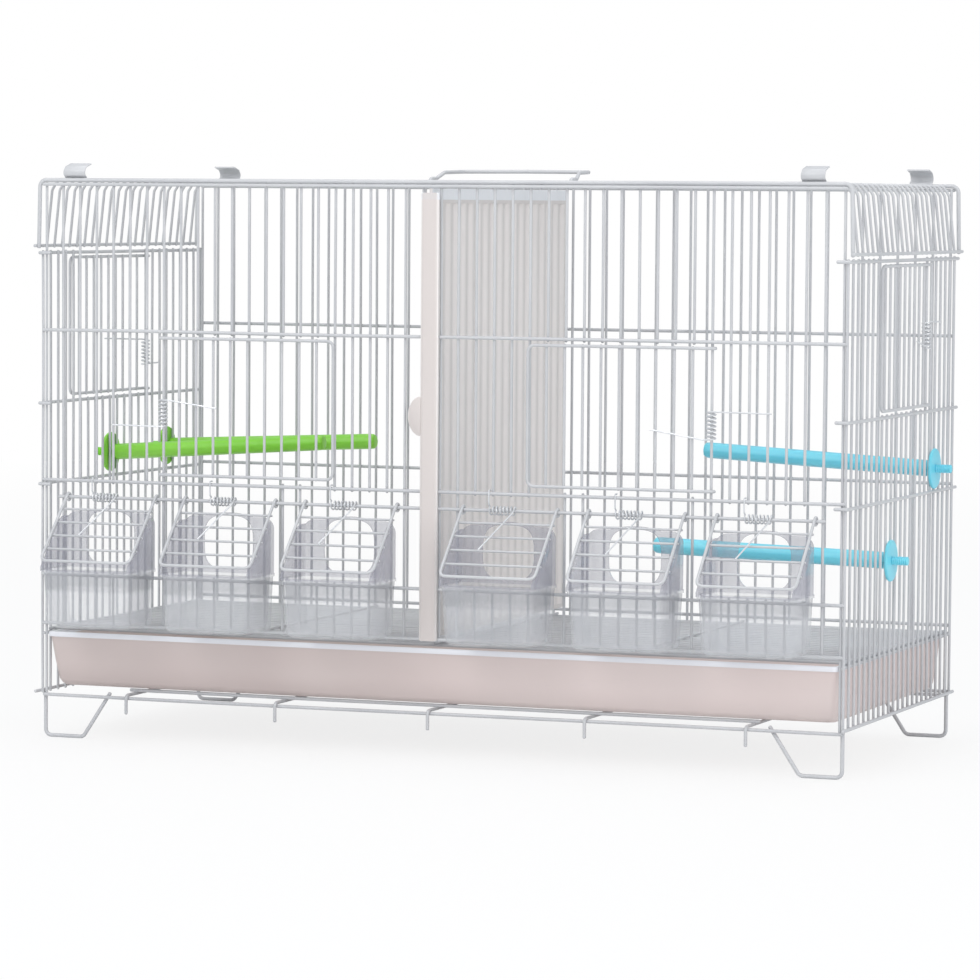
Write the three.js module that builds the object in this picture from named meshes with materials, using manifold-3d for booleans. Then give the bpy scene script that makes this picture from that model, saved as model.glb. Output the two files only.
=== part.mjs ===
// Wire breeding cage with a slide-in divider, six flap-covered feeder cups, four sprung doors,
// a pull-out tray and a carry handle. Millimetres, +Z up, +Y towards the back, +X to the right.
// The group's origin lies at the bottom centre of the whole cage.
import * as THREE from "three";
import { mergeVertices } from "three/addons/utils/BufferGeometryUtils.js";
import Module from "manifold-3d";

const wasm = await Module();
wasm.setup();

// ---------- driving dimensions ----------
// Cage coordinates: X 0 at the middle, Y 0 in the front wires, Z 0 in the base wires.
const GAP = 0.3;                 // air between two pieces that rest on each other
const WIRE = 1.0;                // half thickness of an upright wire
const RAIL = 1.2;                // half thickness of a cross wire
const POST = 1.35;               // half thickness of an edge wire that carries offset cross wires
const DOOR_WIRE = 1.1;           // half thickness of a door's frame wire

const PITCH = 13.2;              // wire spacing of the front and back panels
const BAYS = 45;                 // odd, so the divider has the middle bay
const SIDE_PITCH = 12.1;         // wire spacing of the sides and the roof
const SIDE_BAYS = 22;
const HALF_W = (PITCH * BAYS) / 2;                    // outermost front wire, 297
const DEPTH = SIDE_PITCH * SIDE_BAYS;                 // back wires, 266.2
const SIDE_X = HALF_W + WIRE + GAP + WIRE + 0.3;      // side wires, 299.6

const TOP_Z = 366;               // top wire of the front and back
const DOOR_HEAD_Z = 262;         // cross wire over the front doors
const DOOR_SILL_Z = 154.8;       // cross wire under the front doors
const HINGE_Z = 143;             // hinge wire of the feeder flaps
const FEED_SILL_Z = 86.9;        // cross wire under the feeder openings
const FRONT_FOOT_Z = 51.8;       // lowest cross wire of the front, over the tray
const SIDE_TOP_Z = 317;
const SIDE_SILL_Z = 209.5;       // cross wire under a side door
const SIDE_MID_Z = 151.6;
const TRAY_TOP = 45.5;
const GRATE_Z = TRAY_TOP + GAP + RAIL;                 // wires of the floor grate
const SIDE_LOW_Z = GRATE_Z - RAIL - GAP - RAIL;        // side wires that carry the grate
const REST_Z = RAIL + GAP + RAIL; // panels' lowest wires, which rest on the base wires
const ROOF_EDGE = 1.5;           // half thickness of the roof's front and back wires
const ROOF_Z = TOP_Z + RAIL + GAP + ROOF_EDGE;
const FLAP_EDGE_Z = SIDE_TOP_Z + 5;                    // lower edge of the roof's turned-down sides
const FOOT_Z = -31;              // underside of the feet
const CUP_FRONT = -47;           // the cups' front walls under the rim
const RIM_OUT = 1;               // how far a cup's rim stands out in front
const REACH_FRONT = RIM_OUT - CUP_FRONT;
const REACH_BACK = DEPTH + WIRE + 0.15 + 2 * RAIL; // the back panel's cross wires

const DOOR_FREE = 5, DOOR_HINGE = 15;                 // front wires counted from the middle
const FEEDERS = [[1, 7], [8, 14], [15, 21]];          // front wires at each feeder opening's sides
const SIDE_DOOR = { left: [4, 14], right: [6, 16] };  // side wires: free edge, hinge

const COIL_R = 2.9, COIL_WIRE = 0.5, COIL_PITCH = 2.7, COIL_CURLS = 7;

const frontX = (j) => PITCH * (j + 0.5);
const sideY = (n) => SIDE_PITCH * n;

// ---------- materials ----------
const paint = (color, roughness, metalness, extra = {}) =>
  new THREE.MeshStandardMaterial({ color, roughness, metalness, ...extra });
const MATERIAL = {
  wire: paint(0xe3e5e7, 0.35, 0.1),
  spring: paint(0xc4c8cc, 0.3, 0.8),
  tray: paint(0xd6cac8, 0.45, 0),
  divider: paint(0xdcd2cb, 0.5, 0),
  cup: paint(0xd5dade, 0.1, 0, { transparent: true, opacity: 0.4 }),
  green: paint(0x7ac943, 0.35, 0),
  blue: paint(0x5fc4dc, 0.35, 0),
};

// ---------- solids ----------
const solid = (geometry) => {
  const bare = geometry.clone();
  for (const key of Object.keys(bare.attributes)) {
    if (key !== "position") bare.deleteAttribute(key);
  }
  const merged = mergeVertices(bare, 1e-4);
  return new wasm.Manifold(new wasm.Mesh({
    numProp: 3,
    vertProperties: merged.attributes.position.array,
    triVerts: new Uint32Array(merged.index.array),
  }));
};
const fuse = (solids) => solids.reduce((sum, item) => sum.add(item));

const fromLists = (vertices, faces) => {
  const geometry = new THREE.BufferGeometry();
  geometry.setAttribute("position", new THREE.Float32BufferAttribute(vertices.flat(), 3));
  geometry.setIndex(faces.flat());
  return geometry;
};

const box = (x0, x1, y0, y1, z0, z1) => {
  const geometry = new THREE.BoxGeometry(x1 - x0, y1 - y0, z1 - z0);
  geometry.translate((x0 + x1) / 2, (y0 + y1) / 2, (z0 + z1) / 2);
  return solid(geometry);
};
const upright = (x, y, z0, z1, half = WIRE) => box(x - half, x + half, y - half, y + half, z0, z1);
const crossX = (x0, x1, y, z, half = RAIL) => box(x0, x1, y - half, y + half, z - half, z + half);
const crossY = (x, y0, y1, z, half = RAIL) => box(x - half, x + half, y0, y1, z - half, z + half);

// A tube of `sides` flat sides along a path, mitred at its corners. `up` sets how a square one is turned.
const tubeGeometry = (path, radius, sides, up) => {
  const points = path.map((p) => new THREE.Vector3(...p));
  const along = points.slice(1).map((p, i) => p.clone().sub(points[i]).normalize());
  const first = new THREE.Vector3(...up);
  first.addScaledVector(along[0], -first.dot(along[0])).normalize();
  const second = along[0].clone().cross(first);
  let offsets = [];
  for (let i = 0; i < sides; i++) {
    const a = (2 * Math.PI * (i + 0.5)) / sides;
    offsets.push(first.clone().multiplyScalar(radius * Math.cos(a))
      .addScaledVector(second, radius * Math.sin(a)));
  }
  const vertices = [];
  points.forEach((p, k) => {
    if (k > 0 && k < points.length - 1) {
      const mitre = along[k - 1].clone().add(along[k]).normalize();
      offsets = offsets.map((o) =>
        o.clone().addScaledVector(along[k - 1], -o.dot(mitre) / along[k - 1].dot(mitre)));
    }
    offsets.forEach((o) => vertices.push(p.clone().add(o).toArray()));
    if (k > 0 && k < points.length - 1) {
      offsets = offsets.map((o) => o.clone().addScaledVector(along[k], -o.dot(along[k])));
    }
  });
  const faces = [];
  for (let k = 0; k < points.length - 1; k++) {
    for (let i = 0; i < sides; i++) {
      const a = k * sides + i;
      const b = k * sides + ((i + 1) % sides);
      faces.push([a, b, b + sides], [a, b + sides, a + sides]);
    }
  }
  const last = (points.length - 1) * sides;
  for (let i = 1; i < sides - 1; i++) {
    faces.push([0, i + 1, i], [last, last + i, last + i + 1]);
  }
  return fromLists(vertices, faces);
};
const wirePath = (path, half, up) => solid(tubeGeometry(path, half * Math.SQRT2, 4, up));

// Stacked outlines joined into one closed solid; every outline has the same number of points.
const loft = (rings) => {
  const n = rings[0].length;
  const faces = [];
  for (let k = 0; k < rings.length - 1; k++) {
    for (let i = 0; i < n; i++) {
      const a = k * n + i;
      const b = k * n + ((i + 1) % n);
      faces.push([a, b, b + n], [a, b + n, a + n]);
    }
  }
  const last = (rings.length - 1) * n;
  for (let i = 1; i < n - 1; i++) {
    faces.push([0, i + 1, i], [last, last + i, last + i + 1]);
  }
  return solid(fromLists(rings.flat(), faces));
};
const rectangle = (x0, x1, y0, y1, z) => [[x0, y0, z], [x1, y0, z], [x1, y1, z], [x0, y1, z]];

// A turned piece along X: profile points are [x, radius].
const turned = (profile, sides) => loft(profile.map(([x, r]) => {
  const ring = [];
  for (let i = 0; i < sides; i++) {
    const a = (2 * Math.PI * i) / sides;
    ring.push([x, r * Math.cos(a), r * Math.sin(a)]);
  }
  return ring;
}));

// A plate of outline [u, v] pairs. `place` turns (u, v, w) into x, y, z; w runs over the thickness.
const plate = (outline, w0, w1, place) => {
  const ring = (w) => outline.map(([u, v]) => place(u, v, w));
  const forward = loft([ring(w0), ring(w1)]);
  return forward.volume() > 0 ? forward : loft([ring(w1), ring(w0)]);
};

const root = new THREE.Group();
root.name = "breeding_cage";
const cage = new THREE.Group();
cage.position.set(0, -(REACH_BACK - REACH_FRONT) / 2, -FOOT_Z);
root.add(cage);
const add = (name, shape, slot) => {
  const { vertProperties, triVerts, numProp } = shape.getMesh();
  const geometry = new THREE.BufferGeometry();
  const positions = new Float32Array((vertProperties.length / numProp) * 3);
  for (let i = 0; i < positions.length / 3; i++) {
    positions.set(vertProperties.subarray(i * numProp, i * numProp + 3), i * 3);
  }
  geometry.setAttribute("position", new THREE.BufferAttribute(positions, 3));
  geometry.setIndex(new THREE.BufferAttribute(new Uint32Array(triVerts), 1));
  const mesh = new THREE.Mesh(geometry, MATERIAL[slot]);
  mesh.name = name;
  cage.add(mesh);
};

// ---------- front and back panels ----------
const inFeeder = (j) => FEEDERS.some(([a, b]) => j > a && j < b);
const inDoor = (j) => j > DOOR_FREE && j < DOOR_HINGE;

const frontPanel = () => {
  const parts = [
    crossX(-HALF_W - RAIL, HALF_W + RAIL, 0, TOP_Z),
    crossX(-HALF_W - RAIL, HALF_W + RAIL, 0, FRONT_FOOT_Z),
  ];
  for (const side of [-1, 1]) {
    const span = (a, b, z) => crossX(Math.min(side * a, side * b), Math.max(side * a, side * b), 0, z);
    parts.push(span(frontX(0), HALF_W, DOOR_HEAD_Z));
    parts.push(span(frontX(0), HALF_W, DOOR_SILL_Z));
    parts.push(span(frontX(0), frontX(21) + 2.5, HINGE_Z));
    parts.push(span(frontX(0), HALF_W, FEED_SILL_Z));
    for (let j = 0; j <= 22; j++) {
      const x = side * frontX(j);
      const low = j === 22 ? RAIL + GAP : FRONT_FOOT_Z;
      let stops = [[low, TOP_Z]];
      if (inDoor(j) && inFeeder(j)) {
        stops = [[low, FEED_SILL_Z], [DOOR_HEAD_Z, TOP_Z]];
      } else if (inDoor(j)) {
        stops = [[low, DOOR_SILL_Z], [DOOR_HEAD_Z, TOP_Z]];
      } else if (inFeeder(j)) {
        stops = [[low, FEED_SILL_Z], [DOOR_SILL_Z, TOP_Z]];
      }
      stops.forEach(([z0, z1]) => parts.push(upright(x, 0, z0, z1)));
    }
  }
  return fuse(parts);
};

const backPanel = () => {
  const parts = [crossX(-HALF_W - 0.6, HALF_W + 0.6, DEPTH, TOP_Z)];
  parts.push(crossX(-HALF_W - 0.6, HALF_W + 0.6, DEPTH, REST_Z));
  for (const side of [-1, 1]) {
    for (let j = 0; j <= 22; j++) {
      const half = j === 0 || j === 22 ? POST : WIRE;
      const x = side * (frontX(j) - (j === 22 ? POST - WIRE : 0));
      parts.push(upright(x, DEPTH, REST_Z, TOP_Z, half));
    }
  }
  // The cross wires lie behind the uprights and are joined to the four thicker ones.
  for (const z of [261, 154, 51, 45]) {
    parts.push(crossX(-HALF_W - 1.5, HALF_W + 1.5, DEPTH + WIRE + 0.15 + RAIL, z));
  }
  return fuse(parts);
};

add("front_panel", frontPanel(), "wire");
add("back_panel", backPanel(), "wire");

// ---------- side panels ----------
const sidePanel = (side) => {
  const [free, hinge] = side < 0 ? SIDE_DOOR.left : SIDE_DOOR.right;
  const x = side * SIDE_X;
  const outer = side * (SIDE_X + WIRE + 0.15 + RAIL);
  const hook = (xOut, z) => box(
    Math.min(side * (HALF_W - 4), xOut + side * RAIL), Math.max(side * (HALF_W - 4), xOut + side * RAIL),
    -WIRE - GAP - 2 * RAIL, -WIRE - GAP, z - RAIL, z + RAIL);
  const front = -WIRE - GAP - 2 * RAIL;
  const parts = [
    crossY(x, front - 3, DEPTH + 3, REST_Z),
    crossY(x, front, DEPTH + 3, SIDE_SILL_Z),
    hook(x, SIDE_SILL_Z),
    crossY(x, front, DEPTH + 3, SIDE_TOP_Z),
    hook(x, SIDE_TOP_Z),
    crossY(outer, front, DEPTH + 3, SIDE_MID_Z),
    hook(outer, SIDE_MID_Z),
    crossY(side * (SIDE_X - WIRE - 0.15 - RAIL), WIRE + 2 * GAP, DEPTH - POST - GAP, SIDE_LOW_Z),
  ];
  for (let n = 0; n <= SIDE_BAYS; n++) {
    const edge = n === 0 || n === SIDE_BAYS;
    const cut = n > free && n < hinge;
    const y = sideY(n);
    parts.push(upright(x, y, REST_Z, cut ? SIDE_SILL_Z : SIDE_TOP_Z, WIRE));
    // The edge wires carry the cross wires that lie outside and inside the panel.
    if (edge) {
      const grip = (z, dx) => box(
        Math.min(x, x + side * dx), Math.max(x, x + side * dx), y - WIRE, y + WIRE, z - 0.8, z + 0.8);
      parts.push(grip(SIDE_MID_Z, WIRE + 0.5));
    }
  }
  // The low inner cross wire is joined to the second wire from each end.
  for (const n of [1, SIDE_BAYS - 1]) {
    const y = sideY(n);
    parts.push(box(Math.min(x, x - side * (WIRE + 0.5)), Math.max(x, x - side * (WIRE + 0.5)),
      y - WIRE, y + WIRE, SIDE_LOW_Z - 0.8, SIDE_LOW_Z + 0.8));
  }
  return fuse(parts);
};
add("left_side_panel", sidePanel(-1), "wire");
add("right_side_panel", sidePanel(1), "wire");

// ---------- roof ----------
const STAY_X = 80.5;
const roof = () => {
  const parts = [];
  const edgeX = SIDE_X + 3.2;
  for (let n = 0; n <= SIDE_BAYS; n++) {
    // The front and back wires keep clear of the panels' top wires; the others lean in more.
    const edge = n === 0 || n === SIDE_BAYS;
    const y = sideY(n);
    const bend = edge ? [[SIDE_X + 2.3, ROOF_Z - 3], [SIDE_X - 0.6, ROOF_Z]] : [[SIDE_X - 5, ROOF_Z]];
    const half = [[edgeX, FLAP_EDGE_Z], ...bend];
    parts.push(wirePath([
      ...half.map(([x, z]) => [-x, y, z]), ...half.reverse().map(([x, z]) => [x, y, z]),
    ], edge ? ROOF_EDGE : WIRE, [0, 1, 0]));
  }
  for (const side of [-1, 1]) {
    parts.push(crossY(side * edgeX, -1.6, DEPTH + 1.6, FLAP_EDGE_Z));
  }
  // Three stays run under the roof wires and are joined to the second wire from each end.
  const stayZ = ROOF_Z - WIRE - GAP - RAIL;
  for (const x of [-STAY_X, 0, STAY_X]) {
    parts.push(crossY(x, RAIL + GAP, DEPTH - RAIL - GAP, stayZ));
    for (const n of [1, SIDE_BAYS - 1]) {
      parts.push(box(x - 0.8, x + 0.8, sideY(n) - 0.8, sideY(n) + 0.8, stayZ, ROOF_Z));
    }
  }
  return fuse(parts);
};
add("top_panel", roof(), "wire");

// ---------- base ----------
const SUPPORTS = [-232, -116, 0, 116, 232];
const SUPPORT_Z = 2 * RAIL - 0.2;
const REST_WIRE_Z = 2 * SUPPORT_Z;               // the two wires that the tray rests on
const REST_WIRE_Y = 14;
const base = () => {
  const z = SUPPORT_Z;
  const restHalf = SUPPORTS[4] + 4;
  const parts = [
    crossX(-HALF_W - 1.5, HALF_W + 1.5, 0, 0),
    crossX(-HALF_W - 1.5, HALF_W + 1.5, DEPTH, 0),
    crossX(-restHalf, restHalf, REST_WIRE_Y, REST_WIRE_Z),
    crossX(-restHalf, restHalf, DEPTH - REST_WIRE_Y, REST_WIRE_Z),
  ];
  for (const x of SUPPORTS) {
    const front = -RAIL - 0.2;
    parts.push(crossY(x, front - 2 * RAIL, DEPTH - RAIL - GAP, z));
    parts.push(box(x - RAIL, x + RAIL, front - 2 * RAIL, front, -11, z));
    parts.push(box(x - RAIL, x + RAIL, DEPTH - 5, DEPTH, -1, REST_Z - RAIL - GAP));
  }
  return fuse(parts);
};
add("base_frame", base(), "wire");

const LEG = 1.4;
const leg = (side, y) => {
  const x = side * (SIDE_X - 1);
  const foot = FOOT_Z + LEG;
  return wirePath([
    [x, y, RAIL], [x, y, foot + 3], [x - side * 3, y, foot], [x - side * 28.5, y, foot],
    [x - side * 31.5, y, foot + 2], [x - side * 50.5, y, RAIL],
  ], LEG, [0, 1, 0]);
};
const legY = RAIL + GAP + LEG;
add("leg_front_left", leg(-1, legY), "wire");
add("leg_front_right", leg(1, legY), "wire");
add("leg_back_left", leg(-1, DEPTH - legY), "wire");
add("leg_back_right", leg(1, DEPTH - legY), "wire");

// ---------- tray and floor grate ----------
const TRAY_HALF = HALF_W - WIRE - 0.4;
const TRAY_BACK = DEPTH - POST - GAP;
const TRAY_BOTTOM = REST_WIRE_Z + RAIL + GAP;
const TRAY_FLOOR = 2.5;
// One level of the tray: in from the lip at both ends, at the front and at the back.
const trayLevel = (ends, front, back, z) =>
  rectangle(-TRAY_HALF + ends, TRAY_HALF - ends, front - 1, TRAY_BACK - back, z);
const tray = () => {
  const shell = loft([
    trayLevel(5.6, 13, 11, TRAY_BOTTOM),
    trayLevel(3.4, 8, 7, TRAY_BOTTOM + 5),
    trayLevel(0.7, 0.9, 2, TRAY_TOP - 1),
  ]);
  const lip = box(-TRAY_HALF, TRAY_HALF, -1, TRAY_BACK, TRAY_TOP - 3.5, TRAY_TOP);
  const hollow = loft([
    trayLevel(8.1, 15.5, 13.5, TRAY_BOTTOM + TRAY_FLOOR),
    trayLevel(5.6, 10.4, 9.4, TRAY_BOTTOM + 7),
    trayLevel(2.7, 3, 4.2, TRAY_TOP + 1),
  ]);
  return shell.add(lip).subtract(hollow);
};
add("tray", tray(), "tray");

// The grate's end wires lie on the side panels' low wires, and the tray slides out under it.
const grate = () => {
  const z = GRATE_Z;
  const end = SIDE_X - WIRE - 2 * GAP - RAIL;
  const over = z + 2 * WIRE + 0.15;
  const parts = [
    crossY(-end, 6, 260, z, RAIL), crossY(end, 6, 260, z, RAIL),
  ];
  for (let n = 1; n < SIDE_BAYS; n++) {
    parts.push(crossX(-end, end, sideY(n), z, WIRE));
  }
  for (const x of [-146, 0, 146]) {
    parts.push(crossY(x, sideY(1), sideY(21), over, WIRE));
    for (const n of [1, 21]) {
      parts.push(box(x - WIRE, x + WIRE, sideY(n) - WIRE, sideY(n) + WIRE, z, over + WIRE));
    }
  }
  return fuse(parts);
};
add("floor_grate", grate(), "wire");

// ---------- divider ----------
const divider = () => {
  const face = -RAIL - GAP;
  const parts = [
    box(-6.5, 6.5, face - 3, face, 51, 361.5),
    box(-1.75, 1.75, face - 1, DEPTH - RAIL - GAP, FRONT_FOOT_Z + RAIL + GAP, 357),
    box(-1.2, 1.2, face - 0.5, DEPTH - RAIL - GAP, 356, TOP_Z - RAIL - GAP),
  ];
  const tab = [];
  for (let i = 0; i <= 6; i++) {
    const a = -Math.PI / 2 + (Math.PI * i) / 6;
    tab.push([-6 - 9 * Math.cos(a), 207 + 13.5 * Math.sin(a)]);
  }
  parts.push(plate(tab, face - 3, face - 0.4, (u, v, w) => [u, w, v]));
  return fuse(parts);
};
add("divider_board", divider(), "divider");

// ---------- stacking hooks and carry handle ----------
// Sheet clips that stand behind the roof's front and back wires, bulge out over them and
// lean in again over the roof. Each step gives the outer and the inner corner as
// [out from the wire, height over it].
const CLIP_HALF = 8.5;
const CLIP = [
  [[-1.9, -0.8], [-2.9, -0.8]], [[-1.9, 1.7], [-2.9, 2.2]], [[0.7, 3.2], [-0.3, 3.7]],
  [[1.1, 6.4], [0.1, 6]], [[-1.7, 9.7], [-2.1, 8.6]], [[-9.8, 12], [-10.1, 10.9]],
];
const clip = (x, onWire) => {
  const rings = CLIP.map(([[a, za], [b, zb]]) => [
    [x - CLIP_HALF, onWire(a), ROOF_Z + za], [x + CLIP_HALF, onWire(a), ROOF_Z + za],
    [x + CLIP_HALF, onWire(b), ROOF_Z + zb], [x - CLIP_HALF, onWire(b), ROOF_Z + zb],
  ]);
  const forward = loft(rings);
  return forward.volume() > 0 ? forward : loft(rings.reverse());
};
const atFront = (out) => -out;
const atBack = (out) => DEPTH + out;
add("stacking_hook_front_left", clip(-274.5, atFront), "wire");
add("stacking_hook_front_right", clip(274.5, atFront), "wire");
add("stacking_hook_back_left", clip(-274.5, atBack), "wire");
add("stacking_hook_back_right", clip(274.5, atBack), "wire");

const HANDLE = 1.4;
const handleAxisY = sideY(11);
const handle = () => {
  const r = 1.75 + HANDLE;
  const arm = (side) => [
    [side * 54, handleAxisY + 2.4, ROOF_Z - r], [side * 54, handleAxisY - r, ROOF_Z - r],
    [side * 54, handleAxisY - r, ROOF_Z + r], [side * 54, handleAxisY + 8, ROOF_Z + r],
    [side * 52.5, handleAxisY + 20, ROOF_Z + 7.6], [side * 50, handleAxisY + 46, ROOF_Z + 8.4],
    [side * 45, handleAxisY + 51, ROOF_Z + 8.4],
  ];
  return wirePath([...arm(-1), ...arm(1).reverse()], HANDLE, [1, 0, 0]);
};
add("carry_handle", handle(), "wire");

// ---------- doors ----------
// A door in its own frame: u runs from the hinge to the free edge, w is up, n points out of the cage.
const door = (place, reach, z0, z1, bars, plane) => {
  const eye = 1.65 + DOOR_WIRE;
  const path = [
    [2, -eye, z0], [-eye, -eye, z0], [-eye, plane, z0], [reach - 5, plane, z0],
    [reach - 1.4, plane, z0 + 1.4], [reach, plane, z0 + 5], [reach, plane, z1 - 5],
    [reach - 1.4, plane, z1 - 1.4], [reach - 5, plane, z1],
    [-eye, plane, z1], [-eye, -eye, z1], [2, -eye, z1],
  ].map((p) => place(...p));
  const up = place(0, 0, 1).map((v, i) => v - place(0, 0, 0)[i]);
  const parts = [wirePath(path, DOOR_WIRE, up)];
  for (const u of bars) {
    const a = place(u - WIRE, plane - WIRE, z0);
    const b = place(u + WIRE, plane + WIRE, z1);
    parts.push(box(Math.min(a[0], b[0]), Math.max(a[0], b[0]),
      Math.min(a[1], b[1]), Math.max(a[1], b[1]), z0, z1));
  }
  return fuse(parts);
};
const DOOR_PLANE = RAIL + GAP + 0.1 + DOOR_WIRE;
const frontDoor = (side) => {
  const bars = [];
  for (let j = DOOR_HINGE - 1; j > DOOR_FREE; j--) bars.push(PITCH * (DOOR_HINGE - j));
  const reach = PITCH * (DOOR_HINGE - DOOR_FREE);
  const place = (u, n, w) => [side * (frontX(DOOR_HINGE) - u), -n, w];
  return door(place, reach, DOOR_SILL_Z + 6, DOOR_HEAD_Z - 4.3, bars, DOOR_PLANE);
};
add("front_door_left", frontDoor(-1), "wire");
add("front_door_right", frontDoor(1), "wire");

const sideDoor = (side) => {
  const [free, hinge] = side < 0 ? SIDE_DOOR.left : SIDE_DOOR.right;
  const bars = [];
  for (let n = hinge - 1; n > free; n--) bars.push(SIDE_PITCH * (hinge - n));
  const place = (u, n, w) => [side * (SIDE_X + n), sideY(hinge) - u, w];
  return door(place, SIDE_PITCH * (hinge - free), SIDE_SILL_Z + 4.6, SIDE_TOP_Z - 3.6, bars, DOOR_PLANE);
};
add("side_door_left", sideDoor(-1), "wire");
add("side_door_right", sideDoor(1), "wire");

// ---------- feeder flaps and cups ----------
const CUP_HALF = 34.5, CUP_BACK = -RAIL - GAP, CUP_WALL = 2;
const CUP_BOTTOM = 53, CUP_RIM = 94;
const HOLE_HALF = 19, HOLE_Z = CUP_RIM + 1.5 + HOLE_HALF;
const FLAP_HALF = 34.75, FLAP_LENGTH = 62, FLAP_V = 2.9;
const FLAP_OVER_RIM = 4.6;       // height of a flap's free edge over the cup's rim
const SLOPE = Math.acos((HINGE_Z - CUP_RIM - FLAP_OVER_RIM) / FLAP_LENGTH);
// Flap coordinates: u down the slope from the hinge wire, v out of the slope.
const onSlope = (x, u, v) => [
  x, -Math.sin(SLOPE) * u - Math.cos(SLOPE) * v,
  HINGE_Z - Math.cos(SLOPE) * u + Math.sin(SLOPE) * v,
];
const flap = (xc) => {
  const side = (s) => [
    [s * FLAP_HALF, 2.2, -FLAP_V], [s * FLAP_HALF, -FLAP_V, -FLAP_V], [s * FLAP_HALF, -FLAP_V, FLAP_V],
    [s * FLAP_HALF, FLAP_LENGTH - 5, FLAP_V], [s * (FLAP_HALF - 1.5), FLAP_LENGTH - 1.5, FLAP_V],
    [s * (FLAP_HALF - 5), FLAP_LENGTH, FLAP_V],
  ];
  const path = [...side(-1), ...side(1).reverse()].map(([x, u, v]) => onSlope(xc + x, u, v));
  const normal = onSlope(0, 0, 1).map((v, i) => v - onSlope(0, 0, 0)[i]);
  const parts = [wirePath(path, WIRE, [1, 0, 0])];
  for (let i = 1; i <= 4; i++) {
    const u = 12.4 * i;
    parts.push(wirePath([onSlope(xc - FLAP_HALF, u, FLAP_V), onSlope(xc + FLAP_HALF, u, FLAP_V)],
      0.8, normal));
  }
  return fuse(parts);
};

const cup = (xc) => {
  const x0 = xc - CUP_HALF;
  const x1 = xc + CUP_HALF;
  const bowl = loft([
    rectangle(x0 + 6, x1 - 6, CUP_FRONT + 7, CUP_BACK, CUP_BOTTOM),
    rectangle(x0 + 1.5, x1 - 1.5, CUP_FRONT + 2, CUP_BACK, CUP_BOTTOM + 5),
    rectangle(x0, x1, CUP_FRONT, CUP_BACK, CUP_RIM),
  ]);
  const rim = box(x0 - 0.9, x1 + 0.9, CUP_FRONT - RIM_OUT, CUP_BACK, CUP_RIM - 2, CUP_RIM);
  const ears = box(x0 - 2.7, x1 + 2.7, -28, -22, CUP_RIM - 3.5, CUP_RIM);
  // The cheeks follow the flap's slope just under its frame.
  const [, topY, topZ] = onSlope(0, 12, -2);
  const [, lowY, lowZ] = onSlope(0, FLAP_LENGTH + 3.8, 0);
  const cheek = plate([[lowY, CUP_RIM - 1], [lowY, lowZ], [topY, topZ],
    [CUP_BACK, topZ], [CUP_BACK, CUP_RIM - 1]], x0, x1, (u, v, w) => [w, u, v]);
  const crown = plate([[x0 + 16, topZ - 2], [x0 + 26, topZ + 2.5],
    [x1 - 26, topZ + 2.5], [x1 - 16, topZ - 2]],
    CUP_BACK - CUP_WALL, CUP_BACK, (u, v, w) => [u, w, v]);
  const ledge = box(xc - 22, xc + 22, CUP_BACK - 0.5, RAIL + 1.2,
    FEED_SILL_Z + RAIL + GAP, FEED_SILL_Z + RAIL + GAP + 2.2);
  const hollow = loft([
    rectangle(x0 + 8, x1 - 8, CUP_FRONT + 9, CUP_BACK - CUP_WALL, CUP_BOTTOM + 2),
    rectangle(x0 + 3.2, x1 - 3.2, CUP_FRONT + 4, CUP_BACK - CUP_WALL, CUP_BOTTOM + 6.5),
    rectangle(x0 + 2, x1 - 2, CUP_FRONT + 2, CUP_BACK - CUP_WALL, CUP_RIM),
    rectangle(x0 + 2, x1 - 2, CUP_FRONT - 3, CUP_BACK - CUP_WALL, CUP_RIM + 0.02),
    rectangle(x0 + 2, x1 - 2, CUP_FRONT - 3, CUP_BACK - CUP_WALL, 140),
  ]);
  // The hole is a square with well rounded corners.
  const soft = (t) => HOLE_HALF * Math.sign(t) * Math.abs(t) ** 0.66;
  const hole = plate(Array.from({ length: 16 }, (_, i) => {
    const a = (2 * Math.PI * (i + 0.5)) / 16;
    return [xc + soft(Math.cos(a)), HOLE_Z + soft(Math.sin(a))];
  }), CUP_BACK - 4, CUP_BACK + 1, (u, v, w) => [u, w, v]);
  return fuse([bowl, rim, ears, cheek, crown]).subtract(hollow).subtract(hole).add(ledge);
};

// ---------- springs ----------
// A torsion spring: curls about an axis, then an arm at each end. `place` turns its own
// (a along the axis, p, q across it) into x, y, z. Angles are measured from p towards q.
const springCheck = [];
const spring = (name, place, startAngle, endAngle, headArm, tailArm) => {
  const steps = 8;
  const turns = COIL_CURLS + (endAngle - startAngle) / (2 * Math.PI);
  const count = Math.round(turns * steps);
  const path = [];
  for (let i = 0; i <= count; i++) {
    const t = i / count;
    const angle = startAngle + turns * 2 * Math.PI * t;
    path.push([COIL_PITCH * COIL_CURLS * t, COIL_R * Math.cos(angle), COIL_R * Math.sin(angle)]);
  }
  const all = [...headArm.slice().reverse(), ...path, ...tailArm].map((p) => place(...p));
  const gap = leastGap(all);
  springCheck.push(name + " " + gap.toFixed(2));
  const geometry = tubeGeometry(all, COIL_WIRE * 1.2, 4, place(1, 0, 0).map((v, i) => v - place(0, 0, 0)[i]));
  add(name, solid(geometry), "spring");
};

// The least distance between two stretches of one wire that lie more than a third of a curl apart.
function leastGap(path) {
  const fine = [];
  path.slice(1).forEach((b, i) => {
    const a = path[i];
    const length = Math.hypot(...b.map((v, k) => v - a[k]));
    const n = Math.max(1, Math.ceil(length / 0.4));
    for (let k = 0; k < n; k++) fine.push(b.map((v, m) => a[m] + ((v - a[m]) * k) / n));
  });
  let least = Infinity;
  for (let i = 0; i < fine.length; i++) {
    for (let j = i + 18; j < fine.length; j++) {
      least = Math.min(least, Math.hypot(fine[i][0] - fine[j][0], fine[i][1] - fine[j][1],
        fine[i][2] - fine[j][2]));
    }
  }
  return least - 2 * COIL_WIRE * 1.2;
}

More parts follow.
